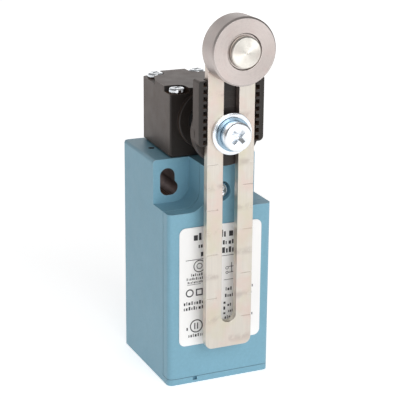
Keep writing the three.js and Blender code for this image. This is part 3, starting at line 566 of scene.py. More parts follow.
def brushed_metal(name, color, roughness, stretch, grain=0.3):
    """Metal with brush lines along one axis, warm and pink stains and bright rubbed edges."""
    n = Nodes(name)
    lines = n.noise(n.scaled(stretch), 60, 5, 0.6)
    stains = n.noise(n.place, 170, 5)
    warm = n.noise(n.scaled((1, 1, 0.7), (0.3, 0, 0)), 120, 3)
    base = n.mix(n.spread(lines, 0, 1, 0.3, 0.7), shade(color, 0.94), shade(color, 1.04))
    pink = (color[0] * 1.02, color[1] * 0.9, color[2] * 0.9)
    straw = (color[0] * 0.94, color[1] * 0.95, color[2] * 0.82)
    base = n.mix(n.spread(stains, 0.0, 0.8, 0.46, 0.62), base, pink)
    base = n.mix(n.spread(warm, 0.0, 0.75, 0.5, 0.68), base, straw)
    base = n.mix(n.math("MULTIPLY", scale_smudges(n), 0.55), base, shade(pink, 0.55))
    base = n.mix(n.math("MULTIPLY", n.edge_mask(0.18), 0.5), base, (0.9, 0.9, 0.9))
    rough = n.math(
        "ADD", n.spread(lines, -0.04, 0.05, 0.3, 0.7), n.spread(stains, roughness, roughness + 0.1)
    )
    mottle = n.noise(n.place, 1700, 3)
    normal = n.bump(n.math("ADD", lines, n.math("MULTIPLY", mottle, 0.5)), grain, 0.01)
    return n.surface(Base_Color=base, Metallic=1.0, Roughness=rough, Normal=normal)


def turned_metal(name, color, roughness, centre_z, groove=0.3, spun=0.5):
    """Lathe-turned metal: circular tool marks round an axis along Y, and spun highlights."""
    n = Nodes(name)
    place = n.scaled((1, 1, 1), (0, 0, -centre_z * MM))
    split = n.add("ShaderNodeSeparateXYZ")
    n.link(place, split.inputs["Vector"])
    x, y, z = (split.outputs[axis] for axis in "XYZ")
    squares = n.math("ADD", n.math("MULTIPLY", x, x), n.math("MULTIPLY", z, z))
    rings = n.add("ShaderNodeCombineXYZ")
    n.link(n.math("SQRT", squares), rings.inputs["X"])
    n.link(y, rings.inputs["Y"])
    marks = n.noise(rings.outputs["Vector"], 5200, 3, 0.6)
    cloud = n.noise(n.place, 260, 4)
    mottle = n.noise(n.place, 1500, 3)
    base = n.mix(n.spread(marks, 0, 1, 0.3, 0.7), shade(color, 0.93), shade(color, 1.05))
    rosy = (color[0], color[1] * 0.93, color[2] * 0.93)
    base = n.mix(n.spread(cloud, 0.0, 0.6, 0.5, 0.7), base, rosy)
    base = n.mix(n.spread(mottle, 0.0, 0.3, 0.5, 0.7), base, shade(color, 0.8))
    base = n.mix(n.math("MULTIPLY", n.edge_mask(0.2), 0.6), base, (0.95, 0.95, 0.94))
    rough = n.math(
        "ADD", n.spread(marks, -0.04, 0.05, 0.3, 0.7), n.spread(cloud, roughness, roughness + 0.1)
    )
    normal = n.bump(marks, groove, 0.01)
    around = n.add("ShaderNodeCombineXYZ")
    n.link(z, around.inputs["X"])
    n.link(n.math("MULTIPLY", x, -1.0), around.inputs["Z"])
    turn = n.add(
        "ShaderNodeVectorTransform", vector_type="VECTOR", convert_from="OBJECT", convert_to="WORLD"
    )
    n.link(around.outputs["Vector"], turn.inputs["Vector"])
    return n.surface(
        Base_Color=base,
        Metallic=1.0,
        Roughness=rough,
        Normal=normal,
        Anisotropic=spun,
        Tangent=turn.outputs["Vector"],
    )


def plated_metal(name, color, roughness, tarnish):
    """Bright zinc or spring steel: fine crystal mottle, darker tarnish in patches."""
    n = Nodes(name)
    mottle = n.noise(n.place, 1500, 3)
    patches = n.noise(n.place, 380, 5)
    base = n.mix(n.spread(mottle, 0, 1, 0.35, 0.65), shade(color, 0.93), shade(color, 1.04))
    base = n.mix(n.spread(patches, 0.0, 0.5, 0.55, 0.8), base, tarnish)
    base = n.mix(n.math("MULTIPLY", n.edge_mask(0.15), 0.5), base, shade(color, 1.15))
    rough = n.spread(patches, roughness - 0.04, roughness + 0.12, 0.3, 0.8)
    normal = n.bump(mottle, 0.25, 0.008)
    return n.surface(Base_Color=base, Metallic=1.0, Roughness=rough, Normal=normal)


def label_film(name):
    """White printed film with a fine orange-peel gloss and a few faint handling marks."""
    n = Nodes(name)
    peel = n.noise(n.place, 1400, 2)
    marks = n.noise(n.scaled((1, 1, 0.3)), 160, 5)
    base = n.mix(n.spread(marks, 0.0, 0.25, 0.55, 0.8), (0.93, 0.925, 0.92), (0.8, 0.8, 0.79))
    rough = n.spread(marks, 0.32, 0.5, 0.3, 0.8)
    return n.surface(Base_Color=base, Roughness=rough, Normal=n.bump(peel, 0.15, 0.01))


def printed_ink(name, color):
    """Screen-printed ink that is a little thinner in places."""
    n = Nodes(name)
    thin = n.noise(n.place, 1800, 4)
    base = n.mix(n.spread(thin, 0.0, 0.35, 0.55, 0.75), color, tuple(0.7 * c + 0.2 for c in color))
    return n.surface(Base_Color=base, Roughness=0.45, Normal=n.bump(thin, 0.1, 0.005))


def moulded_rubber(name):
    """Black rubber with a dry bloom."""
    n = Nodes(name)
    bloom = n.noise(n.place, 500, 5)
    base = n.mix(n.spread(bloom, 0, 1, 0.45, 0.8), (0.012, 0.012, 0.013), (0.05, 0.05, 0.048))
    normal = n.bump(n.noise(n.place, 2500, 2), 0.4, 0.02)
    return n.surface(Base_Color=base, Roughness=0.75, Normal=normal)


BLUE = (0.205, 0.415, 0.53)
BLACK = (0.022, 0.018, 0.016)
BROWN_DUST = (1, 0.5, 0.28)

materials = {
    # Colour, roughness, depth of the grain, wear of the edges, specular level and dust
    "blue_plastic": moulded_plastic("blue_plastic", BLUE, 0.42, 0.22, 0.3, 0.42),
    "black_plastic": moulded_plastic("black_plastic", BLACK, 0.4, 0.35, 0.1, 0.35, 0.14),
    "inner_plastic": moulded_plastic("inner_plastic", (0.03, 0.03, 0.032), 0.55, 0.3, 0.1),
    "ivory_plastic": moulded_plastic("ivory_plastic", (0.62, 0.55, 0.4), 0.45, 0.2, 0.2),
    "label_film": label_film("label_film"),
    "rubber": moulded_rubber("rubber"),
    # Colour, roughness and scale of the brush lines along each axis
    "nickel_plate": brushed_metal("nickel_plate", (0.67, 0.625, 0.565), 0.36, (40, 40, 1.5)),
    # Colour, roughness, height of the axis, depth of the tool marks and strength of the highlight
    "turned_steel": turned_metal("turned_steel", (0.57, 0.51, 0.485), 0.4, ROLLER_Z, 0.3, 0.3),
    "pin_steel": turned_metal("pin_steel", (0.78, 0.75, 0.69), 0.26, ROLLER_Z, 0.2, 0.85),
    "shaft_steel": turned_metal("shaft_steel", (0.55, 0.53, 0.5), 0.28, AXIS_Z),
    # Colour, roughness and colour of the tarnish
    "bright_zinc": plated_metal("bright_zinc", (0.86, 0.89, 0.92), 0.2, (0.55, 0.6, 0.68)),
    # Blued spring steel, darkened as painted shade for the shade under the clamp screw's head
    "blued_spring_and_painted_shade": plated_metal("blued_spring_and_painted_shade", (0.3, 0.42, 0.52), 0.25, (0.16, 0.24, 0.33)),
    "spring_steel": plated_metal("spring_steel", (0.4, 0.4, 0.39), 0.3, (0.2, 0.17, 0.14)),
    "bronze": plated_metal("bronze", (0.5, 0.29, 0.13), 0.35, (0.25, 0.13, 0.06)),
    "brass": plated_metal("brass", (0.65, 0.47, 0.17), 0.25, (0.35, 0.2, 0.08)),
    # A dark brown steel bush's colour, darkened further as painted shade for the walls inside the
    # mounting holes
    "hole_bush_and_painted_shade": plated_metal("hole_bush_and_painted_shade", (0.34, 0.27, 0.26), 0.5, (0.08, 0.07, 0.08)),
    "label_ink": printed_ink("label_ink", (0.03, 0.03, 0.035)),
}

# ---------------------------------------------------------------- body, cover and label


def body_plan():
    w = BODY_HALF_WIDTH
    return rounded([
        (-w, BODY_FRONT, FRONT_CORNER),
        (w, BODY_FRONT, FRONT_CORNER),
        (w, 0, REAR_CORNER),
        (-w, 0, REAR_CORNER),
    ])


def pad_cutter(side):
    """The space in front of one mounting pad, with the round corner over the ledge."""
    near, far, top = side * COLUMN_HALF_WIDTH, side * OUTSIDE[1], BODY_TOP + 3
    corners = [(far, LEDGE, 0), (far, top, 0), (near, top, 0), (near, LEDGE, PAD_CORNER)]
    return plate("tool", rounded(corners), [], AHEAD, PAD_FACE)


def hole_cutters(side):
    slot = stadium(side * SLOT_X, -HOLE_RADIUS, SLOT_RISE + HOLE_RADIUS, HOLE_RADIUS)
    low, high = PAD_FACE - PAST, PAST
    return [
        plate("tool", slot, [], low, high),
        bore(side * ROUND_HOLE_X, 0, HOLE_RADIUS, low, high),
    ]


def in_mounting_hole(centre):
    """Whether a face's centre lies on a wall of a mounting hole, behind the pad's edge."""
    x, y, z = (value / MM for value in centre)
    reach = HOLE_RADIUS + 0.1
    deep = PAD_FACE + 0.5 < y < -0.6
    near_x = ROUND_HOLE_X - reach < abs(x) < SLOT_X + reach
    return deep and near_x and -reach < z < SLOT_RISE + reach


def in_index_mark(centre):
    """Whether a face's centre lies in the dimple on the top that marks the head's setting."""
    x, y, z = (value / MM for value in centre)
    return abs(x - INDEX_MARK[0]) < 1 and abs(y - INDEX_MARK[1]) < 1 and z < BODY_TOP - 0.3


def thread_cutter():
    """The conduit entry: a helical thread of M20 size with a chamfered mouth."""
    around, per_turn = 72, 6
    low, high = BODY_BOTTOM - PAST, CONDUIT_END
    count = round((high - low) / CONDUIT_PITCH * per_turn)
    rings = []
    for k in range(count + 1):
        z = low + (high - low) * k / count
        mouth = BODY_BOTTOM + CONDUIT_CHAMFER - z
        rings.append([])
        for i in range(around):
            phase = (z / CONDUIT_PITCH - i / around) % 1
            depth = THREAD_DEPTH * (1 - abs(2 * phase - 1))
            radius = CONDUIT_RADIUS + min(CONDUIT_CHAMFER, max(depth, mouth))
            angle = 2 * math.pi * i / around
            rings[-1].append((radius * math.cos(angle), CONDUIT_Y + radius * math.sin(angle), z))
    return tube("tool", rings)


def envelope(name, low):
    """The body's outer shape above a height, with its upper side edges rounded."""
    w, top = BODY_HALF_WIDTH, BODY_TOP
    shell = plate(name, body_plan(), [], low, top, place=along_z)
    corners = [(-w, BENEATH, 0), (w, BENEATH, 0), (w, top, TOP_EDGE), (-w, top, TOP_EDGE)]
    return boolean(shell, "INTERSECT", plate("tool", rounded(corners), [], AHEAD, BEHIND))


def rear_marks():
    """Ejector marks and a shallow moulding recess on the rear mounting face."""
    ejectors = [bore(x, z, 1.9, -0.18, 1) for x in (-10.5, 10.5) for z in (-12, -46)]
    recess = plate("tool", rectangle(-8.5, 8.5, -40, -16, 1.2), [], -0.45, 1)
    return [*ejectors, recess]


def body_shell():
    shell = envelope("body_shell", BODY_BOTTOM)
    above = BODY_TOP + PAST
    chamber_x = (-CHAMBER_HALF_WIDTH, CHAMBER_HALF_WIDTH)
    chamber_y = (PUSHER_Y - CHAMBER_HALF_WIDTH, PUSHER_Y + CHAMBER_HALF_WIDTH)
    tools = [
        box(OUTSIDE, (AHEAD, SEAM_BACK), (LIP_TOP, above)),
        pad_cutter(-1),
        pad_cutter(1),
        box(PRY_NOTCH_X, (AHEAD, BODY_FRONT + 1), PRY_NOTCH_Z),
        box(CAVITY_X, (AHEAD, CAVITY_BACK), CAVITY_Z),
        box(GASKET_X, (AHEAD, GASKET_SEAT), GASKET_Z),
        box(chamber_x, chamber_y, (CHAMBER_FLOOR, above)),
        upright_bore(0, PUSHER_Y, PUSHER_BORE, -10, 0),
        upright_bore(*INDEX_MARK, INDEX_RADIUS, BODY_TOP - INDEX_DEPTH, above, 20),
        bore(0, COVER_SCREW_Z, COVER_SCREW_HOLE, AHEAD, -20.5),
        *hole_cutters(-1),
        *hole_cutters(1),
    ]
    tools += [upright_bore(x, y, HEAD_SCREW_HOLE, 3, above) for x, y, *_ in HEAD_SCREWS]
    boolean(shell, "DIFFERENCE", *tools, *rear_marks(), thread_cutter())
    soften(shell, 0.32)
    finish_piece(shell, "body", "blue_plastic", ["body_housing"])
    # The walls inside the mounting holes take a steel bush's colour, darkened as painted shade
    shell.data.materials.append(materials["hole_bush_and_painted_shade"])
    # Black plastic on the inside of the index dimple is painted shade
    shell.data.materials.append(materials["black_plastic"])
    for face in shell.data.polygons:
        face.material_index = 2 if in_index_mark(face.center) else int(in_mounting_hole(face.center))


def cover_shell():
    shell = envelope("cover_shell", SEAM_LOW)
    half_width = LABEL_HALF_WIDTH + LABEL_SEAT_GAP
    low, high = LABEL_LOW - LABEL_SEAT_GAP, LABEL_HIGH + LABEL_SEAT_GAP
    label_seat = rectangle(-half_width, half_width, low, high, 2)
    boolean(
        shell,
        "DIFFERENCE",
        box(OUTSIDE, (SEAM_FRONT, BEHIND), (BENEATH, BODY_TOP + PAST)),
        pad_cutter(-1),
        pad_cutter(1),
        box(CAVITY_X, (BODY_FRONT + COVER_WALL, 0), CAVITY_Z),
        bore(0, COVER_SCREW_Z, COUNTERBORE_RADIUS, AHEAD, BODY_FRONT + COUNTERBORE_DEPTH),
        bore(0, COVER_SCREW_Z, COVER_SCREW_HOLE, AHEAD, -20),
        plate("tool", label_seat, [], AHEAD, BODY_FRONT + 0.02),
    )
    # A tongue behind the column closes the seam, so that no light shows through it from the side
    tongue, screw_hole = rectangle(-4.2, 4.2, -7, 7.6), circle(0, COVER_SCREW_Z, COVER_SCREW_HOLE)
    boolean(shell, "UNION", plate("tool", tongue, [screw_hole], SEAM_FRONT - 0.5, SEAM_BACK - 0.03))
    soften(shell, 0.22)
    finish_piece(shell, "body", "blue_plastic", ["front_cover"])


def label():
    outline = rectangle(-LABEL_HALF_WIDTH, LABEL_HALF_WIDTH, LABEL_LOW, LABEL_HIGH, LABEL_CORNER)
    film = plate("label_film", outline, [], LABEL_FACE, LABEL_FACE + LABEL_THICKNESS, edge=0.05)
    finish_piece(film, "body", "label_film", ["rating_label"])


body_shell()
cover_shell()
label()

# ---------------------------------------------------------------- screws


def cross_cutters(place, reach, width, depth, front):
    """The two arms of a cross recess, which narrow with depth as a driver's tip does."""
    levels = [
        (front - 1, reach, width / 2),
        (front, reach, width / 2),
        (front + depth, reach * 0.35, width / 3.2),
    ]
    arms = []
    for turn in (45, 135):
        c, s = math.cos(math.radians(turn)), math.sin(math.radians(turn))
        rings = []
        for level, arm_reach, arm_half in levels:
            corners = [(-1, -1), (1, -1), (1, 1), (-1, 1)]
            flat = [(u * arm_reach, v * arm_half) for u, v in corners]
            rings.append([place(c * u - s * v, s * u + c * v, level) for u, v in flat])
        arms.append(tube("tool", rings))
    return arms


def pan_screw(node, body, head_radius, shank_radius, front, seat, end, crown, recess, centre, place):
    """A pan-head screw with a rounded crown and a turned washer face, in its CAD node's place.

    A recess is the reach, width and depth of the cross.
    """
    crown_points = [
        (head_radius - crown + crown * math.sin(t), front + crown * (1 - math.cos(t)) + 0.04)
        for t in (math.pi / 2 * i / 8 for i in range(9))
    ]
    profile = [
        (0, front),
        *crown_points,
        (head_radius, seat - 0.12),
        (head_radius - 0.12, seat),
        (shank_radius, seat),
        (shank_radius, end - 0.3),
        (shank_radius - 0.3, end),
        (0, end),
    ]

    def centred(u, v, depth):
        return place(centre[0] + u, centre[1] + v, depth)

    screw = lathe(f"{node}_detail", profile, (0, 0), centred, 64)
    boolean(screw, "DIFFERENCE", *cross_cutters(centred, *recess, front))
    soften(screw, 0.05, 2, 45)
    finish_piece(screw, body, "bright_zinc", [node])


def head_screws():
    """Four screws that point down, so their depths are heights with the sign turned."""
    for i, (x, y, pocket_floor, *_) in enumerate(HEAD_SCREWS):
        seat = pocket_floor + 0.1
        pan_screw(
            f"head_screw_{i + 1}",
            "body",
            head_radius=HEAD_SCREW_RADIUS,
            shank_radius=1.1,
            front=-(seat + HEAD_SCREW_HEIGHT),
            seat=-seat,
            end=-3.6,
            crown=0.5,
            recess=(1.35, 0.62, 0.75),
            centre=(x, y),
            place=lambda u, v, depth: along_z(u, v, -depth),
        )


def cover_screw():
    pan_screw(
        "cover_screw",
        "body",
        head_radius=2.3,
        shank_radius=1.4,
        front=-33.1,
        seat=-31.5,
        end=-20.9,
        crown=0.6,
        recess=(1.4, 0.7, 0.9),
        centre=(0, COVER_SCREW_Z),
        place=along_y,
    )


def clamp_screw():
    pan_screw(
        "clamp_screw",
        "holder",
        head_radius=3.8,
        shank_radius=1.9,
        front=-43.9,
        seat=-41.15,
        end=-27.6,
        crown=0.5,
        recess=(2.2, 1.05, 1.5),
        centre=(0, AXIS_Z),
        place=along_y,
    )


head_screws()
cover_screw()
clamp_screw()

# ---------------------------------------------------------------- head


def head_plan():
    front, back = HEAD_FRONT_HALF_WIDTH, HEAD_BACK_HALF_WIDTH
    return rounded([
        (-front, PAD_FACE, HEAD_FRONT_CORNER),
        (front, PAD_FACE, HEAD_FRONT_CORNER),
        (back, HEAD_BACK, HEAD_BACK_CORNER),
        (-back, HEAD_BACK, HEAD_BACK_CORNER),
    ])


def pocket_cutter(x, y, pocket_floor, reach, outer_reach):
    """The pocket of one head screw, open towards the two outer faces of its corner."""
    radius = HEAD_SCREW_RADIUS + POCKET_GAP
    side = math.copysign(1, x)
    end = math.copysign(1, y - (PAD_FACE + HEAD_BACK) / 2)
    inner_edge = [(-radius, -POCKET_SPREAD, 0), (-radius, reach, radius * 0.9)]
    if outer_reach > reach:
        inner_edge.append((POCKET_BEND, reach, 0.8))
    outer_edge = [(POCKET_SPREAD, outer_reach, 0), (POCKET_SPREAD, -POCKET_SPREAD, 0)]
    outline = rounded([
        (x + side * out, y - end * inner, rounding)
        for out, inner, rounding in inner_edge + outer_edge
    ])
    return plate("tool", outline, [], pocket_floor, HEAD_HIGH + PAST, place=along_z)


def head_shell():
    shell = plate("head_shell", head_plan(), [], HEAD_LOW, HEAD_HIGH, place=along_z)
    boss = lathe(
        "tool",
        rounded([
            (0, -20, 0), (BOSS_RADIUS, -20, 0), (BOSS_RADIUS, BOSS_FRONT, 0.35),
            (SEAL_RADIUS, BOSS_FRONT, 0.15), (SEAL_RADIUS, -21, 0), (0, -21, 0),
        ]),
        (0, AXIS_Z),
    )
    boolean(shell, "UNION", boss)
    low, high = HEAD_LOW - PAST, HEAD_HIGH + PAST
    tools = [box(*HEAD_CAVITY)]
    tools += [bore(0, AXIS_Z, *place) for place in HEAD_BORES]
    tools += [pocket_cutter(*place) for place in HEAD_SCREWS]
    tools += [upright_bore(x, y, HEAD_SCREW_HOLE, low, high) for x, y, *_ in HEAD_SCREWS]
    boolean(shell, "DIFFERENCE", *tools)
    soften(shell, 0.22)
    finish_piece(shell, "body", "black_plastic", ["head_housing"])


def shaft():
    """The shaft, with the clamp screw's bore and the flat that drives the cam."""
    made = lathe(
        "shaft_detail",
        rounded([
            (0, -34.2, 0), (SHAFT_RADIUS, -34.2, 0.4), (SHAFT_RADIUS, -17.9, 0.2),
            (3.1, -17.9, 0), (3.1, -8, 0.1), (2.5, -8, 0), (2.5, -2.8, 0.3), (0, -2.8, 0),
        ]),
        (0, AXIS_Z),
    )
    flat = box((-5, 5), (-17.8, -8), (10, AXIS_Z - 2.4))
    boolean(made, "DIFFERENCE", bore(0, AXIS_Z, 2.2, -36, -26.5), flat)
    finish_piece(made, "shaft", "turned_steel", ["rotary_shaft"], look="shaft_steel")


def shaft_seal():
    inner, outer, front, back = SHAFT_BORE, 5.0, -23.9, -22.6
    corners = [(inner, front, 0.25), (outer, front, 0.2), (outer, back, 0.1), (inner, back, 0.3)]
    made = lathe("shaft_seal_detail", rounded(corners), (0, AXIS_Z))
    finish_piece(made, "body", "rubber", ["shaft_seal"])


head_shell()
shaft()
shaft_seal()

# ---------------------------------------------------------------- lever holder and washers


def rail_outline(side):
    """One rail of the holder: its inner edge is notched like a rack."""
    inner, outer = 6.95, 9.2
    low, high = RAIL_LOW, RAIL_HIGH
    pitch, height, depth = 1.9, 1.15, 0.95
    corners = [(inner, low, 0.2), (outer, low, 1.2), (outer, high, 0.6), (inner, high, 0.2)]
    for i in reversed(range(9)):
        z = low + 1 + i * pitch
        corners += [
            (inner, z + height / 2, 0.05),
            (inner + depth, z + height / 2, 0.08),
            (inner + depth, z - height / 2, 0.08),
            (inner, z - height / 2, 0.05),
        ]
    return rounded([(side * x, z, r) for x, z, r in corners], 15)


def holder():
    """Disc, hub and channel: the channel's floor carries the two notched rails."""
    made = lathe(
        "holder_detail",
        rounded([
            (SHAFT_BORE, -34.4, 0), (2.3, -34.4, 0), (2.3, -37, 0.1), (9.3, -37, 0.35),
            (9.3, -34, 0.5), (6.4, -34, 0.4), (6, -28.5, 0.35), (SHAFT_BORE, -28.5, 0.15),
        ]),
        (0, AXIS_Z),
    )
    rails = [
        plate("tool", rail_outline(side), [], RAIL_FRONT, RAIL_BACK, edge=0.08, steps=2)
        for side in (-1, 1)
    ]
    floor_outline = rectangle(-7.6, 7.6, RAIL_LOW, RAIL_HIGH, 0.3)
    channel_floor = plate("tool", floor_outline, [circle(0, AXIS_Z, SHAFT_RADIUS)], -36.95, -35.65)
    boolean(made, "UNION", *rails, channel_floor)
    # Wear lines that the lever leaves across the channel's floor
    half_line = 0.12
    marks = [
        box((-6.9, 6.9), (-38, -36.8), (z - half_line, z + half_line))
        for z in (AXIS_Z + 6.5, AXIS_Z + 8.4, AXIS_Z + 10.3)
    ]
    boolean(made, "DIFFERENCE", *marks)
    finish_piece(made, "holder", "black_plastic", ["lever_holder"])


def flat_washer():
    outer, hole = circle(0, AXIS_Z, 5.55, 4), circle(0, AXIS_Z, 2.2, 8)
    made = plate("flat_washer_detail", outer, [hole], -40.15, -39.4, edge=0.12)
    finish_piece(made, "holder", "bright_zinc", ["flat_washer"])


def spring_washer():
    """A split ring of rectangular section whose two ends stand a little apart."""
    inner, outer, thickness, corner = 2.3, 4.45, 0.6, 0.07
    front, rise, gap, steps = -41.02, 0.16, 7, 80
    section = rounded([
        (inner, 0, corner), (outer, 0, corner), (outer, thickness, corner), (inner, thickness, corner)
    ], 45)
    rings = []
    for k in range(steps + 1):
        share = k / steps
        angle = math.radians(gap / 2 + (360 - gap) * share)
        c, s, near = math.cos(angle), math.sin(angle), front + rise * share
        rings.append([(radius * c, near + depth, AXIS_Z + radius * s) for radius, depth in section])
    made = tube("spring_washer_detail", rings)
    # Its blued colour is darkened to paint the shade under the clamp screw's head
    finish_piece(made, "holder", "bright_zinc", ["spring_washer"], look="blued_spring_and_painted_shade")


holder()
flat_washer()
spring_washer()

# ---------------------------------------------------------------- slotted lever and roller


def lever_outline():
    w = LEVER_HALF_WIDTH
    top = arc_points((0, ROLLER_Z), w, 0, math.pi, 4)
    r = LEVER_CORNER
    foot = rounded([(-w, 0, 0), (-w, LEVER_LOW, r), (w, LEVER_LOW, r), (w, 0, 0)])
    return foot[1:-1] + top


def graduation_cutters():
    """Engraved graduations, alternating between the two strips beside the slot."""
    tools = []
    for i in range(5):
        left = FIRST_TICK - TICK_PITCH * i
        right = left - TICK_PITCH / 2
        marks = ((-1, left, TICK), (1, right, TICK), (1, left, TRACE), (-1, right, TRACE))
        for side, z, (reach, depth) in marks:
            if LEVER_LOW + 3 < z < AXIS_Z - 6:
                ends = sorted((side * (LEVER_HALF_WIDTH + 1), side * (LEVER_HALF_WIDTH - reach)))
                tools.append(box(ends, (-41, LEVER_FRONT + depth), (z - 0.2, z + 0.2)))
    return tools


def slotted_lever():
    slot = stadium(0, SLOT_LOW, SLOT_HIGH, SLOT_HALF_WIDTH)
    holes = [slot, circle(0, ROLLER_Z, PIN_BORE)]
    made = plate("lever_detail", lever_outline(), holes, LEVER_FRONT, LEVER_BACK, edge=0.14)
    boolean(made, "DIFFERENCE", *graduation_cutters())
    finish_piece(made, "lever", "nickel_plate", ["slotted_lever"])


def roller():
    made = lathe(
        "roller_detail",
        rounded([
            (PIN_BORE, -39.75, 0.1), (PIN_BORE, -46, 0), (4.45, -46, 0.05), (4.7, -46.5, 0.12),
            (8.35, -46.5, 0.05), (8.8, -46.05, 0.1), (8.8, -40.2, 0.1), (8.35, -39.75, 0.1),
        ]),
        (0, ROLLER_Z),
        segments=128,
    )
    finish_piece(made, "roller", "turned_steel", ["roller"])


def roller_pin():
    made = lathe(
        "roller_pin_detail",
        rounded([
            (0, -47.52, 0), (0.5, -47.6, 0.3), (3.75, -47.6, 0.12), (4.05, -47.3, 0.12),
            (4.05, -46.3, 0.05), (2.6, -46.3, 0), (2.6, -37.1, 0), (3.4, -37.1, 0.1),
            (3.1, -36.5, 0.25), (0, -36.4, 0),
        ]),
        (0, ROLLER_Z),
    )
    finish_piece(made, "lever", "turned_steel", ["roller_pin"], look="pin_steel")


def roller_spacer():
    outer, hole = circle(0, ROLLER_Z, 4.4), circle(0, ROLLER_Z, PIN_BORE)
    made = plate("roller_spacer_detail", outer, [hole], -39.65, -39.4, edge=0.05, steps=2)
    finish_piece(made, "lever", "spring_steel", ["roller_spacer"])


slotted_lever()
roller()
roller_pin()
roller_spacer()

# ---------------------------------------------------------------- label print


def bar(x0, x1, z0, z1):
    return (rectangle(x0, x1, z0, z1), [])


def ring(x, z, radius, line):
    return (circle(x, z, radius, 10), [circle(x, z, radius - line, 10)])


# Each row of blocks: left, right, foot, height, gap between blocks, and the first block's width
PRINT_ROWS = [
    (-7.9, 7.9, -11.9, 2.0, 0.16, 4),
    (-6.5, 6.5, -14.1, 1.2, 0.24, 1),
    (-5.8, 5.8, -16.5, 1.6, 0.2, 2),
    (-8.6, -3.0, -21.9, 0.75, 0.36, 3),
    (-9.9, -3.0, -22.95, 0.7, 0.36, 5),
    (-9.6, -3.0, -23.9, 0.6, 0.36, 0),
    (-10.7, -2.8, -30.0, 1.0, 0.32, 2),
    (-10.7, -2.8, -31.5, 1.0, 0.32, 6),
    (-9.3, -4.6, -39.4, 0.95, 0.32, 1),
    (1.6, 10, -27.4, 0.95, 0.32, 3),
    (1.4, 10, -29.3, 0.95, 0.32, 0),
    (2.2, 3.6, -32.0, 0.8, 0.32, 4),
    (2.4, 4.6, -33.8, 0.8, 0.32, 1),
    (1.4, 10, -35.6, 0.9, 0.32, 2),
    (1.8, 9, -37.2, 0.8, 0.32, 5),
]
# Left, right, foot and top of each rule, dot and contact bridge
PRINT_BARS = [
    (-10.2, 5, -17.35, -17.2),
    (-9.7, -5.8, -24.3, -24.18),
    (1, 4.9, -24.3, -24.18),
    (-3.7, -3.2, -26.6, -25.2),
    (-9.9, -9.5, -37.3, -36.5),
    (-4.7, -3.5, -36.9, -35.9),
    (-4.3, -3.9, -40.7, -40.1),
    (1.0, 1.6, -31.2, -30.6),
    (1.0, 1.5, -32.9, -32.0),
    (1.0, 1.6, -34.2, -33.7),
    (-7.6, -7.3, -37.2, -35.4),
    (-6.8, -6.5, -37.2, -35.4),
    (2.3, 4.2, -20.66, -20.5),
    (2.3, 4.9, -22.3, -22.14),
    (3.2, 3.36, -22.3, -19.4),
]
# Left, right, foot and top of the outer and the inner edge of a square outline
PRINT_SQUARE = [(-7.2, -5.2, -27.6, -25.6), (-6.86, -5.54, -27.26, -25.94)]
# Centre, outer radius and width of line of each ring
PRINT_RINGS = [
    (-6.2, -19.2, 1.75, 0.24),
    (-6.2, -19.2, 0.85, 0.2),
    (-9.0, -26.6, 1.15, 0.34),
    (-7.0, -36.3, 1.9, 0.3),
    (1.9, -20.9, 0.45, 0.14),
    (4.6, -20.2, 0.45, 0.14),
    (1.9, -22.2, 0.4, 0.14),
    (5.3, -22.2, 0.4, 0.14),
]


def word_row(x0, x1, z, height, gap, start):
    """A row of solid blocks of uneven size that stands for a line of print without any letter."""
    widths = (0.5, 0.3, 0.44, 0.24, 0.58, 0.36, 0.28, 0.48)
    heights = (1, 0.74, 0.74, 1, 0.74)
    parts = []
    x, i = x0, start
    while True:
        width = widths[i % len(widths)] * height
        if x + width > x1:
            return parts
        parts.append(bar(x, x + width, z, z + heights[i % len(heights)] * height))
        x += width + height * (0.5 if i % 6 == 5 else gap)
        i += 1


def label_print():
    """The generic print of the label, joined into one thin raised piece."""
    parts = [block for row in PRINT_ROWS for block in word_row(*row)]
    parts += [bar(*edges) for edges in PRINT_BARS]
    parts += [ring(*line) for line in PRINT_RINGS]
    outer, inner = (rectangle(*edges) for edges in PRINT_SQUARE)
    parts.append((outer, [inner]))
    build = bmesh.new()
    for outline, holes in parts:
        mark = plate("tool", outline, holes, LABEL_FACE - 0.03, LABEL_FACE + 0.02)
        build.from_mesh(mark.data)
        bpy.data.objects.remove(mark)
    mesh = bpy.data.meshes.new("label_print")
    build.to_mesh(mesh)
    build.free()
    finish_piece(link_object("label_print", mesh), "body", "label_film", look="label_ink")


label_print()

# ---------------------------------------------------------------- springs


def coil_spring(node, centre_y, radius, wire, turns):
    """A round-wire spring in its CAD node's place."""
    low, high = (corner.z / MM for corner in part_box(node))
    around, steps = 12, round(turns * 36)
    angles = [2 * math.pi * i / around for i in range(around)]
    section = [(radius + wire / 2 * math.cos(a), wire / 2 * math.sin(a)) for a in angles]
    rings = []
    for step in range(steps + 1):
        angle = 2 * math.pi * turns * step / steps
        middle = low + wire / 2 + (high - low - wire) * step / steps
        c, s = math.cos(angle), math.sin(angle)
        rings.append([(reach * c, centre_y + reach * s, middle + rise) for reach, rise in section])
    made = tube(f"{node}_detail", rings)
    finish_piece(made, "body", "spring_steel", [node])
    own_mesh(made)


coil_spring("return_spring", PUSHER_Y, radius=3.5, wire=0.9, turns=6)
coil_spring("carrier_spring", CARRIER_SPRING_Y, radius=2.6, wire=0.5, turns=3.5)

# ---------------------------------------------------------------- inner pieces kept from the CAD

slots = {row["node"]: row["material_slot"] for row in frame["record"]["subparts"]}
for node, thing in frame["nodes"].items():
    thing.data.materials.clear()
    thing.data.materials.append(materials[slots[node]])
    thing.data.shade_smooth()
    thing.data.set_sharp_from_angle(angle=math.radians(30))

# ---------------------------------------------------------------- floor, light and camera


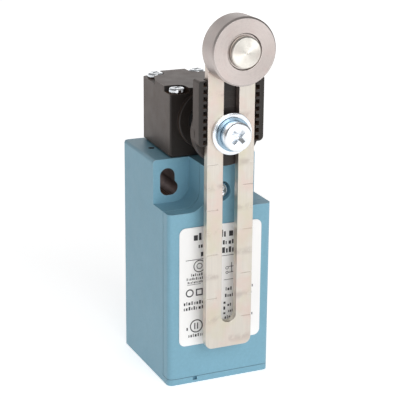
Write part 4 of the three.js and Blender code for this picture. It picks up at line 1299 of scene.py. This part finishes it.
def floor():
    reach = 4000
    outline = rectangle(-reach, reach, -reach, reach)
    made = plate("floor", outline, [], BENEATH, BODY_BOTTOM, place=along_z)
    n = Nodes("floor")
    cloud = n.noise(n.place, 3, 2)
    base = n.mix(cloud, (0.86, 0.86, 0.86), (0.9, 0.9, 0.9))
    glow = {"Emission_Color": (1, 1, 1, 1), "Emission_Strength": 0.62}
    made.data.materials.append(n.surface(Base_Color=base, Roughness=0.9, **glow))


def softbox(name, place, target, size, power):
    light = bpy.data.lights.new(name, "AREA")
    light.shape = "RECTANGLE"
    light.size, light.size_y = (side * MM for side in size)
    light.energy = power
    lamp = link_object(name, light)
    lamp.location = Vector(place) * MM
    lamp.rotation_mode = "QUATERNION"
    lamp.rotation_quaternion = (Vector(target) - Vector(place)).to_track_quat("-Z", "Y")


def world(strength):
    scene = bpy.context.scene
    scene.world = bpy.data.worlds.new("surround")
    scene.world.use_nodes = True
    background = scene.world.node_tree.nodes["Background"]
    background.inputs["Color"].default_value = (1, 1, 1, 1)
    background.inputs["Strength"].default_value = strength


def camera():
    """At the viewing angle of the reference: from the left and a little above."""
    azimuth, elevation, roll = (math.radians(a) for a in (-24.05, 17.67, 0.445))
    distance, side, rise = 376.5, 1.26, -3.38
    look_at = Vector((0, -16.8, -3))
    back = Vector((
        math.sin(azimuth) * math.cos(elevation),
        -math.cos(azimuth) * math.cos(elevation),
        math.sin(elevation),
    ))
    level = Vector((math.cos(azimuth), math.sin(azimuth), 0))
    up = back.cross(level)
    right = level * math.cos(roll) + up * math.sin(roll)
    up = up * math.cos(roll) - level * math.sin(roll)
    data = bpy.data.cameras.new("camera")
    data.sensor_width = 36
    data.lens = 123.12
    data.clip_start, data.clip_end = 0.01, 20
    place = (look_at + right * side + up * rise + back * distance) * MM
    turn = Matrix((right, up, back)).transposed().to_4x4()
    made = link_object("camera", data)
    made.matrix_world = Matrix.Translation(place) @ turn
    bpy.context.scene.camera = made


floor()
world(0.25)
softbox("key", (10, -560, 240), (0, -16, -5), (420, 420), 1.8)
softbox("back", (90, 560, 180), (0, -16, 0), (950, 350), 1.05)
camera()
bpy.context.scene.view_settings.view_transform = "Standard"
